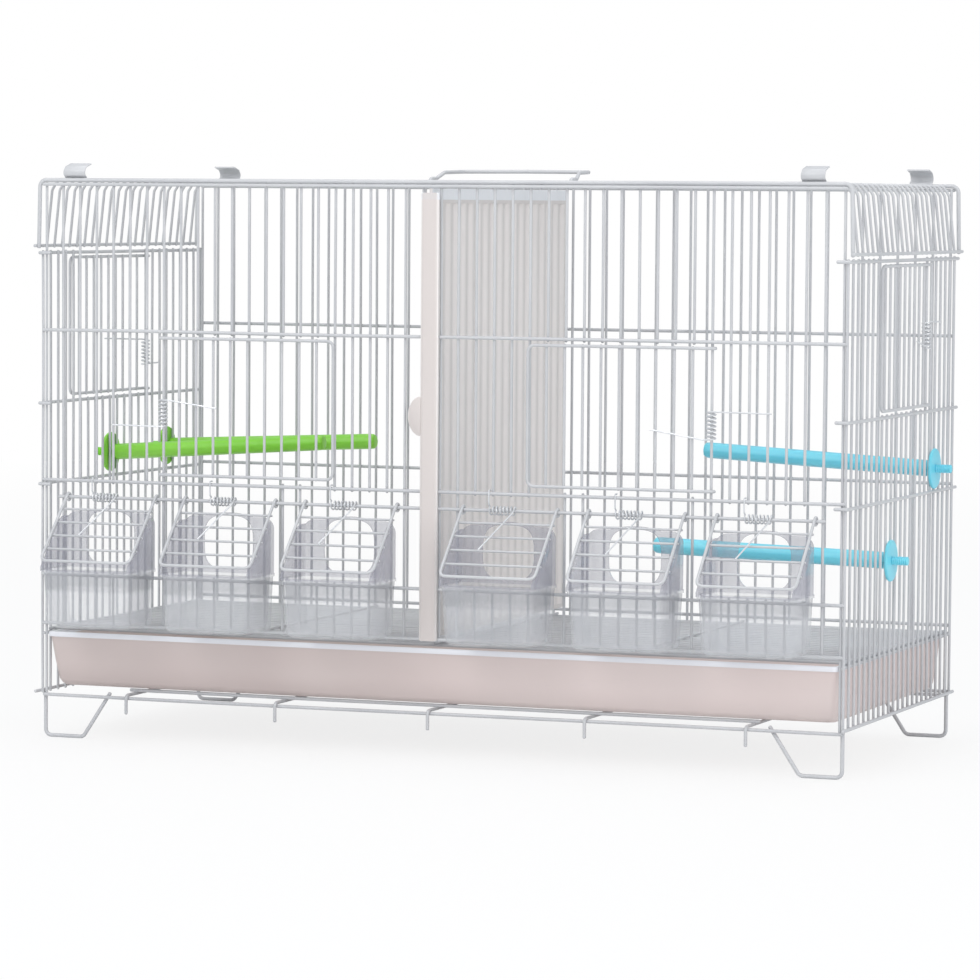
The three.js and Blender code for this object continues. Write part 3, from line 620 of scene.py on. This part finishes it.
def base_frame():
    shape = Shape()
    over = 2 * RAIL - SUNK
    long_x, short_x = HALF_W + PAST, SUPPORTS[-1] + 4
    for x, y, z in ((long_x, 0, 0), (long_x, DEPTH, 0),
                    (short_x, TRAY_WIRE_IN, 2 * over), (short_x, DEPTH - TRAY_WIRE_IN, 2 * over)):
        shape.wire(bowed((-x, y, z), (x, y, z), chance, STRAIGHTER), RAIL)
        for support in SUPPORTS:
            shape.weld(support, y, (over + z) / 2, 1.1)
    front_y = -2 * RAIL - GAP
    for x in SUPPORTS:
        shape.wire(rounded([(x, front_y, HOOK_LOW), (x, front_y, over), (x, DEPTH - 1, over)], 3.2, 7), RAIL)
    wire_piece("base_wires", shape, "cage", "base_frame")


def leg(side, at_back):
    shape = Shape()
    y = RAIL + GAP + THICK
    y = DEPTH - y if at_back else y
    x = side * (SIDE_X - 1)
    foot = FOOT_Z + THICK
    bends = [(x, y, 1.6), (x, y, foot), (x - side * LEG_FLAT, y, foot), (x - side * LEG_SPREAD, y, 2.2)]
    shape.wire(rounded(bends, 5, 7), THICK, 12)
    where = corner_name(side, at_back)
    wire_piece("leg_loop_" + where, shape, "cage", "leg_" + where)


# ---------- clips and handle ----------
CLIP_X = 274.5
CLIP_HALF = 8.5
CLIP_SHEET = 0.5
# Out from the roof's edge wire and up from it: foot behind the wire, bulge over it, leg leaning in.
CLIP_CURL = ((-2.4, -0.8), (-2.4, 2.2), (0.6, 3.6), (0.7, 6.4), (-2, 9.4), (-10, 11.5))
# Round the sheet's cut: place along the roof's edge, and share of half the sheet with softened corners.
CLIP_CUT = ((-CLIP_HALF, 0.45), (-CLIP_HALF + 0.5, 1), (CLIP_HALF - 0.5, 1), (CLIP_HALF, 0.45),
            (CLIP_HALF, -0.45), (CLIP_HALF - 0.5, -1), (-CLIP_HALF + 0.5, -1), (-CLIP_HALF, -0.45))


def clip(side, at_back):
    """A stacking hook of bent sheet on one corner of the roof."""
    shape = Shape()
    centre = rounded([(0, out, ROOF_Z + up) for out, up in CLIP_CURL], 2.4, 5)
    rings = []
    for i, point in enumerate(centre):
        along = (centre[min(i + 1, len(centre) - 1)] - centre[max(i - 1, 0)]).normalized()
        outward = Vector((0, along.z, -along.y)) * CLIP_SHEET
        ring = []
        for beside, lift in CLIP_CUT:
            out = point.y + outward.y * lift
            y = DEPTH + out if at_back else -out
            ring.append(Vector((side * CLIP_X + beside, y, point.z + outward.z * lift)))
        rings.append(ring)
    shape.skin(rings)
    where = corner_name(side, at_back)
    wire_piece("clip_" + where, shape, "cage", "stacking_hook_" + where)


HANDLE_Y = side_y(11)
HANDLE_HALF = 54        # from the middle to each eye
HANDLE_REACH = 51       # how far the bail lies back on the roof
HANDLE_LIFT = 8.4


def carry_handle():
    shape = Shape()
    eye = WIRE + THICK + 0.5
    halves = []
    for side in (-1, 1):
        x = side * HANDLE_HALF
        around = [Vector((x, HANDLE_Y + y, ROOF_Z + z)) for y, z in eye_points(eye, 245)]
        arm = rounded([around[-1], (x, HANDLE_Y + 9, ROOF_Z + eye + 0.2),
                       (side * 52, HANDLE_Y + 20, ROOF_Z + 7.6),
                       (side * 49, HANDLE_Y + HANDLE_REACH, ROOF_Z + HANDLE_LIFT),
                       (0, HANDLE_Y + HANDLE_REACH, ROOF_Z + HANDLE_LIFT)], 6, 6)
        halves.append(around[:-1] + arm[:-1])
    middle = Vector((0, HANDLE_Y + HANDLE_REACH + 0.5, ROOF_Z + HANDLE_LIFT + 0.2))
    shape.wire(halves[0] + [middle] + halves[1][::-1], THICK, 12)
    wire_piece("handle_bail", shape, "carry_handle", "carry_handle")


# ---------- tray and grate ----------
TRAY_BACK = DEPTH - 1.7
# The moulding's skin from its underside up the outside and down the inside:
# half width, front, back, height, corner radius.
TRAY_SECTIONS = (
    (286, 16, 249.5, 5.9, 5), (289.2, 12.8, 252.9, 6.2, 5.5), (290.6, 10.4, 255, 7.6, 5.5),
    (291.8, 7.8, 257, 10.6, 5.5), (293.2, 4.4, 259.3, 24, 4.8), (294.5, 0.8, 262, 41.2, 4),
    (294.7, 0.4, 262.4, 41.8, 4), (295.5, -0.8, 264.3, 42, 3.6), (295.6, -1, TRAY_BACK, 42.5, 3.6),
    (295.6, -1, TRAY_BACK, 44.8, 3.6), (295.1, -0.6, 264, 45.5, 3.4), (293.3, 1.4, 261, 45.5, 3.4),
    (292.8, 2.1, 260.3, 45, 3.6), (292.4, 2.9, 259.8, 43.4, 4), (291.3, 5.6, 258, 26, 5),
    (290, 8.8, 255.6, 13, 5.5), (288.6, 11.8, 253, 9.6, 5.5), (286.8, 14.6, 251, 8.5, 5),
    (283, 17.6, 247.6, 8.4, 5),
)
GRATE_FRONT, GRATE_BACK = 6, 260
GRATE_RAILS = (-146, 0, 146)


def tray():
    shape = Shape()
    shape.skin([rounded_outline(*section) for section in TRAY_SECTIONS])
    piece("tray_moulding", shape.mesh("tray_moulding"), "tray", TRAY, "tray", "tray")


def floor_grate():
    shape = Shape()
    end = SIDE_X - WIRE - 0.6 - RAIL
    over = GRATE_Z + 2 * WIRE - SUNK
    for side in (-1, 1):
        shape.wire([(side * end, GRATE_FRONT, GRATE_Z), (side * end, GRATE_BACK, GRATE_Z)], RAIL)
    for n in range(1, SIDE_BAYS):
        shape.wire(bowed((-end, side_y(n), GRATE_Z), (end, side_y(n), GRATE_Z), chance, STRAIGHTER), WIRE)
    for x in GRATE_RAILS:
        shape.wire([(x, side_y(1) - 2, over), (x, side_y(SIDE_BAYS - 1) + 2, over)], WIRE)
    wire_piece("grate_wires", shape, "cage", "floor_grate")


# ---------- divider ----------
RIB_PITCH = 14.3
RIB_DEPTH = 1.15
SHEET_HALF = 0.6
DIVIDER_FACE = -1.5     # the front strip lies in front of this plane
STRIP_LOW, STRIP_TOP = 51, 361.5
BAND_LOW, BAND_TOP = 356, 364.4
TAB_X, TAB_Z = -6, 207
TAB_REACH, TAB_HALF = 9.6, 13.8
STRIP_CUT = ((-6.5, 0), (-6.5, -2), (-5.6, -2.8), (-4, -3), (4, -3), (5.6, -2.8), (6.5, -2), (6.5, 0))


def divider_strip(shape):
    rings = []
    for z, narrower in ((STRIP_LOW, 0.8), (STRIP_LOW + 0.6, 0), (STRIP_TOP - 0.6, 0), (STRIP_TOP, 0.8)):
        rings.append([Vector((x - math.copysign(narrower, x), DIVIDER_FACE + y, z)) for x, y in STRIP_CUT])
    shape.skin(rings)


def divider_tab(shape):
    """The round finger tab at the strip's left edge."""
    turn = [math.pi * (i / 20 - 0.5) for i in range(21)]
    rings = []
    for ahead, size in ((0.5, 0.94), (1.2, 1), (2.3, 1), (3, 0.92)):
        rings.append([Vector((TAB_X - TAB_REACH * size * math.cos(a), DIVIDER_FACE - ahead,
                              TAB_Z + TAB_HALF * size * math.sin(a))) for a in turn])
    shape.skin(rings)


def ribbed_sheet(shape):
    steps = int((DEPTH - 6) / RIB_PITCH * 14)
    rings = []
    for z in (SHEET_LOW, SHEET_TOP):
        left, right = [], []
        for i in range(steps + 1):
            y = DIVIDER_FACE - 0.8 + (DEPTH - 3.4 - DIVIDER_FACE) * i / steps
            swell = math.sin(math.tau * y / RIB_PITCH)
            x = RIB_DEPTH * math.copysign(abs(swell) ** 0.6, swell)
            left.append(Vector((x - SHEET_HALF, y, z)))
            right.append(Vector((x + SHEET_HALF, y, z)))
        rings.append(left + right[::-1])
    shape.skin(rings)


def divider():
    shape = Shape()
    divider_strip(shape)
    divider_tab(shape)
    ribbed_sheet(shape)
    for z in (SHEET_LOW + 1.2, SHEET_TOP - 1.2):
        shape.skin(block(1.7, DIVIDER_FACE - 0.5, DEPTH - 1.6, z - 1.4, z + 1.4))
    shape.skin(block(1.1, DIVIDER_FACE - 0.4, DEPTH - 1.7, BAND_LOW, BAND_TOP))
    piece("divider_sheet", shape.mesh("divider_sheet"), "divider", DIVIDER, "divider", "divider_board")


# ---------- doors ----------
DOOR_PLANE = 2.7        # a door's frame lies this far outside the wires' middle plane
FRONT_DOOR_Z = SILL_Z + 6, HEAD_Z - 4.3
SIDE_DOOR_Z = SIDE_SILL_Z + 4.6, SIDE_TOP_Z - 3.6


def door(name, pitch, bays, heights, place):
    """Built flat: u runs from the hinge to the free edge, n points out of the cage."""
    low, high = heights
    reach = pitch * bays
    shape = Shape()
    eye = eye_points(WIRE + DOOR_WIRE + 0.25, 250)
    corners = rounded([(6, DOOR_PLANE, low), (reach, DOOR_PLANE, low), (reach, DOOR_PLANE, high),
                       (6, DOOR_PLANE, high)], 5.5, 8)
    path = [(u, n, low) for u, n in eye] + corners + [(u, n, high) for u, n in eye[::-1]]
    shape.wire([place(*point) for point in path], DOOR_WIRE, 12)
    behind = DOOR_PLANE - 1.3
    for i in range(1, bays):
        u = pitch * i
        shape.wire([place(u, behind, low - 0.6), place(u, behind, high + 0.6)], WIRE)
        for z in (low, high):
            shape.weld(*place(u, (behind + DOOR_PLANE) / 2, z))
    wire_piece(name + "_wires", shape, name, name)


def doors():
    for side in (-1, 1):
        door("front_door_" + SIDE_NAME[side], PITCH, DOOR_HINGE - DOOR_FREE, FRONT_DOOR_Z,
             lambda u, n, z: Vector((side * (front_x(DOOR_HINGE) - u), -n, z)))
        free, hinge = SIDE_DOOR[side]
        door("side_door_" + SIDE_NAME[side], SIDE_PITCH, hinge - free, SIDE_DOOR_Z,
             lambda u, n, z: Vector((side * (SIDE_X + n), side_y(hinge) - u, z)))


# ---------- feeder flaps ----------
FLAP_HALF, FLAP_LENGTH, FLAP_OUT = 34.75, 62, 2.5
FLAP_BARS, FLAP_BAR_PITCH = 4, 12.4
SLOPE = math.acos((HINGE_Z - CUP_RIM - 4.6) / FLAP_LENGTH)


def on_slope(x, u, v):
    """A point on a flap: u down the slope from the hinge wire, v out of it."""
    return Vector((x, -math.sin(SLOPE) * u - math.cos(SLOPE) * v,
                   HINGE_Z - math.cos(SLOPE) * u + math.sin(SLOPE) * v))


def feeder_flap(number, xc):
    shape = Shape()
    eye = eye_points(FLAP_OUT, 235)
    frame_wire = rounded([(xc - FLAP_HALF, 8, FLAP_OUT), (xc - FLAP_HALF, FLAP_LENGTH, FLAP_OUT),
                          (xc + FLAP_HALF, FLAP_LENGTH, FLAP_OUT), (xc + FLAP_HALF, 8, FLAP_OUT)], 5.5, 8)
    path = [(xc - FLAP_HALF, u, v) for u, v in eye] + frame_wire
    path += [(xc + FLAP_HALF, u, v) for u, v in eye[::-1]]
    shape.wire([on_slope(*point) for point in path], WIRE + 0.05, 12)
    inside = FLAP_OUT - WIRE - BAR + SUNK
    for i in range(1, FLAP_BARS + 1):
        u = FLAP_BAR_PITCH * i
        shape.wire([on_slope(xc - FLAP_HALF - 1, u, inside), on_slope(xc + FLAP_HALF + 1, u, inside)], BAR)
        for side in (-1, 1):
            shape.weld(*on_slope(xc + side * FLAP_HALF, u, FLAP_OUT - 0.8), 0.9)
    name = f"feeder_flap_{number}"
    wire_piece(name + "_wires", shape, name, name)


# ---------- feeder cups ----------
CUP_HALF, CUP_BACK, CUP_FRONT, CUP_WALL = 34.5, -2.1, -47, 1.8
CUP_INNER, CUP_INNER_BACK = CUP_HALF - CUP_WALL, CUP_BACK - CUP_WALL
CUP_BOTTOM, HOOD_TOP = 53, on_slope(0, 12, -2).z
HOLE_HALF = 19
HOLE_Z = CUP_RIM + 1.5 + HOLE_HALF
EAR_FRONT, EAR_BACK = -28, -22      # the rim's ears, by which the cup hangs between two uprights
CROWN_HALF, CROWN_RISE = 20, 3.2
SHOULDER = 8                        # radius of the hood's top corners


def solid(rings):
    """A closed part of a cup, for joining or cutting."""
    shape = Shape()
    shape.skin(rings)
    return placed("cup_part", shape.mesh("cup_part"))


def evaluated(thing):
    """The object's mesh with its modifiers taken up."""
    bpy.context.view_layer.update()
    return bpy.data.meshes.new_from_object(thing.evaluated_get(bpy.context.evaluated_depsgraph_get()))


def combine(base, other, operation):
    """Joins another closed solid to the base, or cuts it away."""
    step = base.modifiers.new("combine", "BOOLEAN")
    step.operation, step.solver, step.object = operation, "EXACT", other
    result = evaluated(base)
    base.modifiers.clear()
    base.data = result
    bpy.data.objects.remove(other)


def cup_level(half, front, z, radius, back=CUP_BACK):
    """A cup's outline at one height: round corners in front, small ones at the back wall."""
    return rounded_outline(half, front, back, z, radius, 1.2, 5)


def cup_bowl():
    return solid([cup_level(CUP_HALF - 5.5, CUP_FRONT + 6.5, CUP_BOTTOM, 6),
                  cup_level(CUP_HALF - 3, CUP_FRONT + 3.8, CUP_BOTTOM + 1.2, 7),
                  cup_level(CUP_HALF - 1.9, CUP_FRONT + 2.4, CUP_BOTTOM + 4, 7.5),
                  cup_level(CUP_HALF - 0.6, CUP_FRONT + 0.6, CUP_RIM - 8, 8),
                  cup_level(CUP_HALF, CUP_FRONT, CUP_RIM, 8)])


def cup_rim():
    return solid([cup_level(CUP_HALF + 0.9, CUP_FRONT - 1, z, 8.6) for z in (CUP_RIM - 2.2, CUP_RIM)])


def cup_ears():
    return solid(block(CUP_HALF + 2.7, EAR_FRONT, EAR_BACK, CUP_RIM - 3.6, CUP_RIM - 0.2))


def cup_hood():
    """The block that the hood's slanting cheeks and back wall are cut from."""
    foot = on_slope(0, FLAP_LENGTH + 3.6, -0.4)
    outline = [(foot.y, CUP_RIM - 1), (foot.y, foot.z)]
    outline += [(-10 + 5 * math.sin(a), HOOD_TOP - 5 + 5 * math.cos(a)) for a in (-0.75, -0.4, 0.0)]
    outline += [(CUP_BACK, HOOD_TOP), (CUP_BACK, CUP_RIM - 1)]
    return solid([[Vector((x, y, z)) for y, z in outline] for x in (-CUP_HALF, CUP_HALF)])


def upright_plate(outline, front, back):
    return solid([[Vector((x, y, z)) for x, z in outline] for y in (front, back)])


def cup_crown():
    """The low arch on top of the back wall."""
    outline = [(CROWN_HALF, HOOD_TOP - 2)]
    outline += [(CROWN_HALF * math.cos(a), HOOD_TOP - 0.4 + CROWN_RISE * math.sin(a) ** 2)
                for a in [math.pi * i / 16 for i in range(17)]]
    outline += [(-CROWN_HALF, HOOD_TOP - 2)]
    return upright_plate(outline, CUP_INNER_BACK, CUP_BACK)


def cup_hollow():
    """The room inside the bowl."""
    back = CUP_INNER_BACK
    return solid([cup_level(CUP_HALF - 8.5, CUP_FRONT + 9.5, CUP_BOTTOM + 2, 5, back),
                  cup_level(CUP_HALF - 5, CUP_FRONT + 6, CUP_BOTTOM + 3.6, 5.5, back),
                  cup_level(CUP_HALF - 3.6, CUP_FRONT + 4.2, CUP_BOTTOM + 7, 6, back),
                  cup_level(CUP_INNER, CUP_FRONT + CUP_WALL, CUP_RIM - 1.5, 6.5, back),
                  cup_level(CUP_INNER, CUP_FRONT + CUP_WALL, CUP_RIM + 0.4, 6.5, back)])


def hood_hollow():
    """The room between the cheeks."""
    return solid(block(CUP_INNER, -60, CUP_INNER_BACK, CUP_RIM + 0.1, 150))


def soft_square(t):
    """Half the hole's width or height at that sine or cosine; its corners are well rounded."""
    return HOLE_HALF * math.copysign(abs(t) ** 0.62, t)


def cup_hole():
    around = [math.tau * (i + 0.5) / 48 for i in range(48)]
    outline = [(soft_square(math.cos(a)), HOLE_Z + soft_square(math.sin(a))) for a in around]
    return upright_plate(outline, CUP_BACK - 5, CUP_BACK + 3)


def cup_shoulder(side):
    """What is cut off the hood's top corner."""
    x, z = CUP_HALF - SHOULDER, HOOD_TOP - SHOULDER
    outline = [(side * (x + SHOULDER * math.cos(a)), z + SHOULDER * math.sin(a))
               for a in [math.pi * i / 16 for i in range(9)]]
    outer, over = side * (CUP_HALF + 1), HOOD_TOP + 0.5
    outline += [(side * x, over), (outer, over), (outer, z)]
    return upright_plate(outline, -60, 5)


def cup_ledge():
    """The ledge behind the back wall that hangs over the feeder opening's low wire."""
    low = FEED_Z + RAIL + GAP
    return solid(block(22, CUP_BACK - 0.6, 2.4, low, low + 2.2))


def cup_mesh():
    """One clear cup at X 0: bowl, rim with ears, slanting cheeks, back wall with a rounded hole."""
    cup = cup_bowl()
    for part in (cup_rim(), cup_ears(), cup_hood(), cup_crown()):
        combine(cup, part, "UNION")
    for part in (cup_hollow(), hood_hollow(), cup_hole(), cup_shoulder(-1), cup_shoulder(1)):
        combine(cup, part, "DIFFERENCE")
    combine(cup, cup_ledge(), "UNION")
    soft = cup.modifiers.new("edges", "BEVEL")
    soft.width, soft.segments = 0.35 * MM, 2
    soft.limit_method, soft.angle_limit = "ANGLE", math.radians(38)
    mesh = evaluated(cup)
    bpy.data.objects.remove(cup)
    smooth(mesh, 35)
    return mesh


def feeders():
    cup = cup_mesh()
    for index, (a, b) in enumerate(FEEDERS):
        for side in (-1, 1):
            xc = side * (front_x(a) + front_x(b)) / 2
            number = 3 - index if side < 0 else 4 + index
            feeder_flap(number, xc)
            mesh = cup.copy()
            mesh.transform(Matrix.Translation((xc * MM, 0, 0)))
            piece(f"feeder_cup_{number}_clear", mesh, "cage", CLEAR, "cup", f"feeder_cup_{number}")
            flap_spring(number, xc)


# ---------- springs ----------
COIL_R, COIL_WIRE, COIL_PITCH, COIL_CURLS = 2.9, 0.55, 2.7, 7
COIL_LENGTH = COIL_PITCH * COIL_CURLS
DOOR_ARM, PANEL_ARM = 4.7, 2.7      # how far out of the wires' middle plane a spring's arms lie
FRONT_SPRING_Z = {-1: 195, 1: 196}
SIDE_SPRING_Z = {-1: 232, 1: 254}


def coil(place, start, extra):
    """Points of a coil: a along its axis, p and q across it. Angles in degrees from p to q."""
    turn = 360 * COIL_CURLS + extra
    count = int(turn / 18)
    points = []
    for i in range(count + 1):
        angle = math.radians(start + turn * i / count)
        points.append(place(COIL_LENGTH * i / count, COIL_R * math.cos(angle), COIL_R * math.sin(angle)))
    return points


def spring(name, moving_body, fixed_path, moving_path, ends):
    """The coil and its fixed arm stay in place between cage and door; the other arm goes with the door."""
    fixed = Shape()
    fixed.wire(fixed_path, COIL_WIRE, 8)
    mesh = fixed.mesh(name + "_coil")
    mesh.materials.append(SPRING)
    thing = placed(name + "_coil", mesh)
    in_row(*ends[0])
    in_row(*ends[1])
    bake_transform(thing)
    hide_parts(name)
    arm = Shape()
    arm.wire(moving_path, COIL_WIRE, 8)
    piece(name + "_arm", arm.mesh(name + "_arm"), moving_body, SPRING, "spring")


def flap_spring(number, xc):
    """Lies on the hinge wire: one end hooks over the sill wire, the other presses on the flap."""
    start = xc - 15

    def place(a, v, u):
        return on_slope(start + a, u, v)

    turns = coil(place, -45, 45)
    fixed_arm = rounded([(start, 1.3, SILL_Z + 2.2), (start, -2.4, SILL_Z + 2.4),
                         (start, -2.4, HINGE_Z + 4.5), turns[0]], 1.4, 4)
    moving = rounded([turns[-1], place(COIL_LENGTH + 0.3, 4.5, 6), place(COIL_LENGTH - 15.5, 4.5, 39)], 2, 4)
    spring(f"flap_spring_{number}", f"feeder_flap_{number}", fixed_arm[:-1] + turns, moving,
           (place(0, 0, 0), place(COIL_LENGTH, 0, 0)))


def door_spring(wall, side, base, sign, door_is_upper, door_reach, panel_reach, drop):
    """Stands on the door's hinge wire, with one arm on the door and one on the panel."""
    def place(a, p, q):
        return base(a, p, q * sign)

    def arm(level, towards, reach, plane, shift):
        return [place(level, (plane + COIL_R) / 2 + 0.4, towards * 5),
                place(level + shift, plane, towards * reach)]

    turns = coil(place, 0, 0)
    if door_is_upper:
        fixed = arm(0, -1, panel_reach, PANEL_ARM, 0.5)[::-1] + turns
        moving = [turns[-1], *arm(COIL_LENGTH, 1, door_reach, DOOR_ARM, -drop)]
        ends = (place(0, 0, 0), place(COIL_LENGTH, 0, 0))
    else:
        fixed = turns + arm(COIL_LENGTH, 1, panel_reach, PANEL_ARM, -0.5)
        moving = [turns[0], *arm(0, -1, door_reach, DOOR_ARM, drop)]
        ends = (place(COIL_LENGTH, 0, 0), place(0, 0, 0))
    name = SIDE_NAME[side]
    spring(f"{wall}_door_spring_{name}", f"{wall}_door_{name}", fixed, rounded(moving, 2, 4), ends)


def on_front_hinge(side):
    return lambda a, p, q: Vector((side * front_x(DOOR_HINGE) + q, -p, FRONT_SPRING_Z[side] + a))


def on_side_hinge(side):
    hinge_y = side_y(SIDE_DOOR[side][1])
    return lambda a, p, q: Vector((side * (SIDE_X + p), hinge_y + q, SIDE_SPRING_Z[side] + a))


def door_springs():
    door_spring("front", -1, on_front_hinge(-1), 1, True, 43, 39, 5)
    door_spring("front", 1, on_front_hinge(1), 1, False, 42.5, 43, 6)
    door_spring("side", -1, on_side_hinge(-1), -1, True, 60, 29, -2)
    door_spring("side", 1, on_side_hinge(1), 1, False, 40, 29, 6)


# ---------- perches ----------
ROD_OUTER = SIDE_X - 1.3        # the rod's shoulder lies against the side wires from inside
NUT_INNER = SIDE_X + 1.3
ROD_LENGTH = 169
# From the shoulder inwards, with the rod's radius.
ROD_PROFILE = ((0, 4.6), (0.5, 5.3), (2, 5.8), (60, 5.8), (120, 5.75), (ROD_LENGTH - 4, 5.7),
               (ROD_LENGTH - 1.4, 5.4), (ROD_LENGTH - 0.3, 4.7), (ROD_LENGTH, 3.8))
# From the nut's inner face outwards, with its radius.
NUT_PROFILE = ((2.2, 4), (2.2, 13.2), (2, 14), (1.6, 14.4), (0.6, 14.5), (0.1, 14.2), (0, 13.6))
FLATS = 8
FLAT_EDGE = 0.07                # half the angle of the soft edge between two flats


def turned(profile, side, sides):
    """Rings about the X axis: profile points are (distance from the middle, radius)."""
    turn = [math.tau * i / sides for i in range(sides)]
    return [[Vector((side * x, r * math.cos(a), r * math.sin(a))) for a in turn] for x, r in profile]


def thread_profile():
    """The screwed stub that passes between the side wires."""
    profile = [(SIDE_X + 15, 2.2), (SIDE_X + 14.6, 2.9)]
    x = SIDE_X + 14
    while x > ROD_OUTER - 1:
        profile += [(x, 3.2), (x - 0.7, 2.75)]
        x -= 1.4
    return profile


def rod_rings(side, tilt):
    """Eight flats with soft edges, leaning about the shoulder."""
    turn = [math.tau * i / FLATS + soft for i in range(FLATS) for soft in (-FLAT_EDGE, FLAT_EDGE)]
    pivot = Vector((side * ROD_OUTER, 0, 0))
    lean = Matrix.Rotation(math.radians(side * tilt), 3, "Y")
    rings = []
    for inwards, r in ROD_PROFILE:
        x = side * (ROD_OUTER - inwards)
        ring = [Vector((x, r * math.cos(a), r * math.sin(a))) for a in turn]
        rings.append([pivot + lean @ (p - pivot) for p in ring])
    return rings


def perch(name, side, y, z, tilt, colour):
    def put(rings):
        return [[Vector((p.x, p.y + y, p.z + z)) for p in ring] for ring in rings]

    rod = Shape()
    rod.skin(put(turned(thread_profile(), side, 16)))
    rod.skin(put(rod_rings(side, tilt)))
    piece(name + "_rod", rod.mesh(name + "_rod"), "cage", PERCH[colour], colour, name)
    nut = Shape()
    nut.skin(put(turned([(NUT_INNER + out, r) for out, r in NUT_PROFILE], side, 40)))
    piece(name + "_nut_disc", nut.mesh(name + "_nut_disc"), "cage", PERCH[colour], colour, name + "_nut")


# ---------- studio ----------
FLOOR_HALF = 14
# Name, place, size and power of each soft lamp; all of them face the cage.
LAMPS = (("key", (-0.9, -2.6, 2.6), 2.2, 42), ("fill", (2.6, -1.6, 1.4), 2.0, 25),
         ("top", (0.0, 0.4, 3.0), 2.4, 25))
LAMP_TARGET = Vector((0, 0, 0.2))
LENS = 165.24
CAMERA_AT = (1163.2, -2886.8, 355.2)
YAW, DIP, ROLL = math.radians(21.185), math.radians(3.660), math.radians(0.395)


def white_paper():
    """Takes a faint shadow near the cage and fades to plain white with distance."""
    finish = Finish("floor", roughness=0.6, base_color=(0.86, 0.86, 0.86, 1))
    reach = finish.node("ShaderNodeVectorMath", {"operation": "LENGTH"}, {0: finish.place}, "Value")
    far = finish.stretch(reach, 0.9, 3.5)
    glow = finish.node("ShaderNodeEmission", {}, {"Color": (1, 1, 1, 1), "Strength": 1.0})
    lit = Reading(finish, finish.shader.outputs[0])
    finish.end("Material Output", finish.blend((0.82 + 0.18 * far) * finish.seen(), lit, glow))
    return finish.material


def floor():
    data = bpy.data.meshes.new("floor")
    corners = [(x * FLOOR_HALF, y * FLOOR_HALF, 0) for x, y in ((-1, -1), (1, -1), (1, 1), (-1, 1))]
    data.from_pydata(corners, [], [(0, 1, 2, 3)])
    data.materials.append(white_paper())
    placed("floor", data)


def sky():
    """Soft light from all round, plain white where it is seen."""
    world = bpy.data.worlds.new("studio")
    world.use_nodes = True
    bpy.context.scene.world = world
    nodes = Nodes(world.node_tree)
    world.node_tree.nodes.remove(world.node_tree.nodes["Background"])
    soft = nodes.node("ShaderNodeBackground", {}, {"Color": (0.93, 0.96, 1.0, 1), "Strength": 0.66})
    white = nodes.node("ShaderNodeBackground", {}, {"Color": (1, 1, 1, 1), "Strength": 1.0})
    nodes.end("World Output", nodes.blend(nodes.seen(), soft, white))


def lamps():
    for name, at, size, power in LAMPS:
        lamp = bpy.data.lights.new(name, "AREA")
        lamp.size, lamp.energy = size, power
        thing = placed(name, lamp)
        thing.location = at
        thing.rotation_euler = (LAMP_TARGET - Vector(at)).to_track_quat("-Z", "Y").to_euler()


def camera():
    forward = Vector((-math.sin(YAW) * math.cos(DIP), math.cos(YAW) * math.cos(DIP), -math.sin(DIP)))
    right = Vector((math.cos(YAW), math.sin(YAW), 0))
    up = right.cross(forward)
    rolled_right = right * math.cos(ROLL) + up * math.sin(ROLL)
    rolled_up = up * math.cos(ROLL) - right * math.sin(ROLL)
    data = bpy.data.cameras.new("camera")
    data.sensor_width, data.lens, data.clip_end = 36, LENS, 100
    thing = placed("camera", data)
    turn = Matrix((rolled_right, rolled_up, -forward)).transposed().to_4x4()
    thing.matrix_world = Matrix.Translation(in_row(*CAMERA_AT)) @ turn
    bpy.context.scene.camera = thing


def studio():
    bpy.context.scene.view_settings.view_transform = "Standard"
    floor()
    sky()
    lamps()
    camera()


front_panel()
back_panel()
for side in (-1, 1):
    side_panel(side)
    for at_back in (False, True):
        leg(side, at_back)
        clip(side, at_back)
roof()
base_frame()
carry_handle()
tray()
floor_grate()
divider()
doors()
feeders()
door_springs()
PERCH_Z = SIDE_MID_Z + 17.4
perch("perch_green_front", -1, side_y(9.5), PERCH_Z, 3.8, "green")
perch("perch_green_back", -1, side_y(17.5), PERCH_Z, 2.5, "green")
perch("perch_blue_upper", 1, side_y(17.5), PERCH_Z - 1, 3, "blue")
perch("perch_blue_lower", 1, side_y(8.5), SIDE_MID_Z - 41.6, 1.7, "blue")
studio()
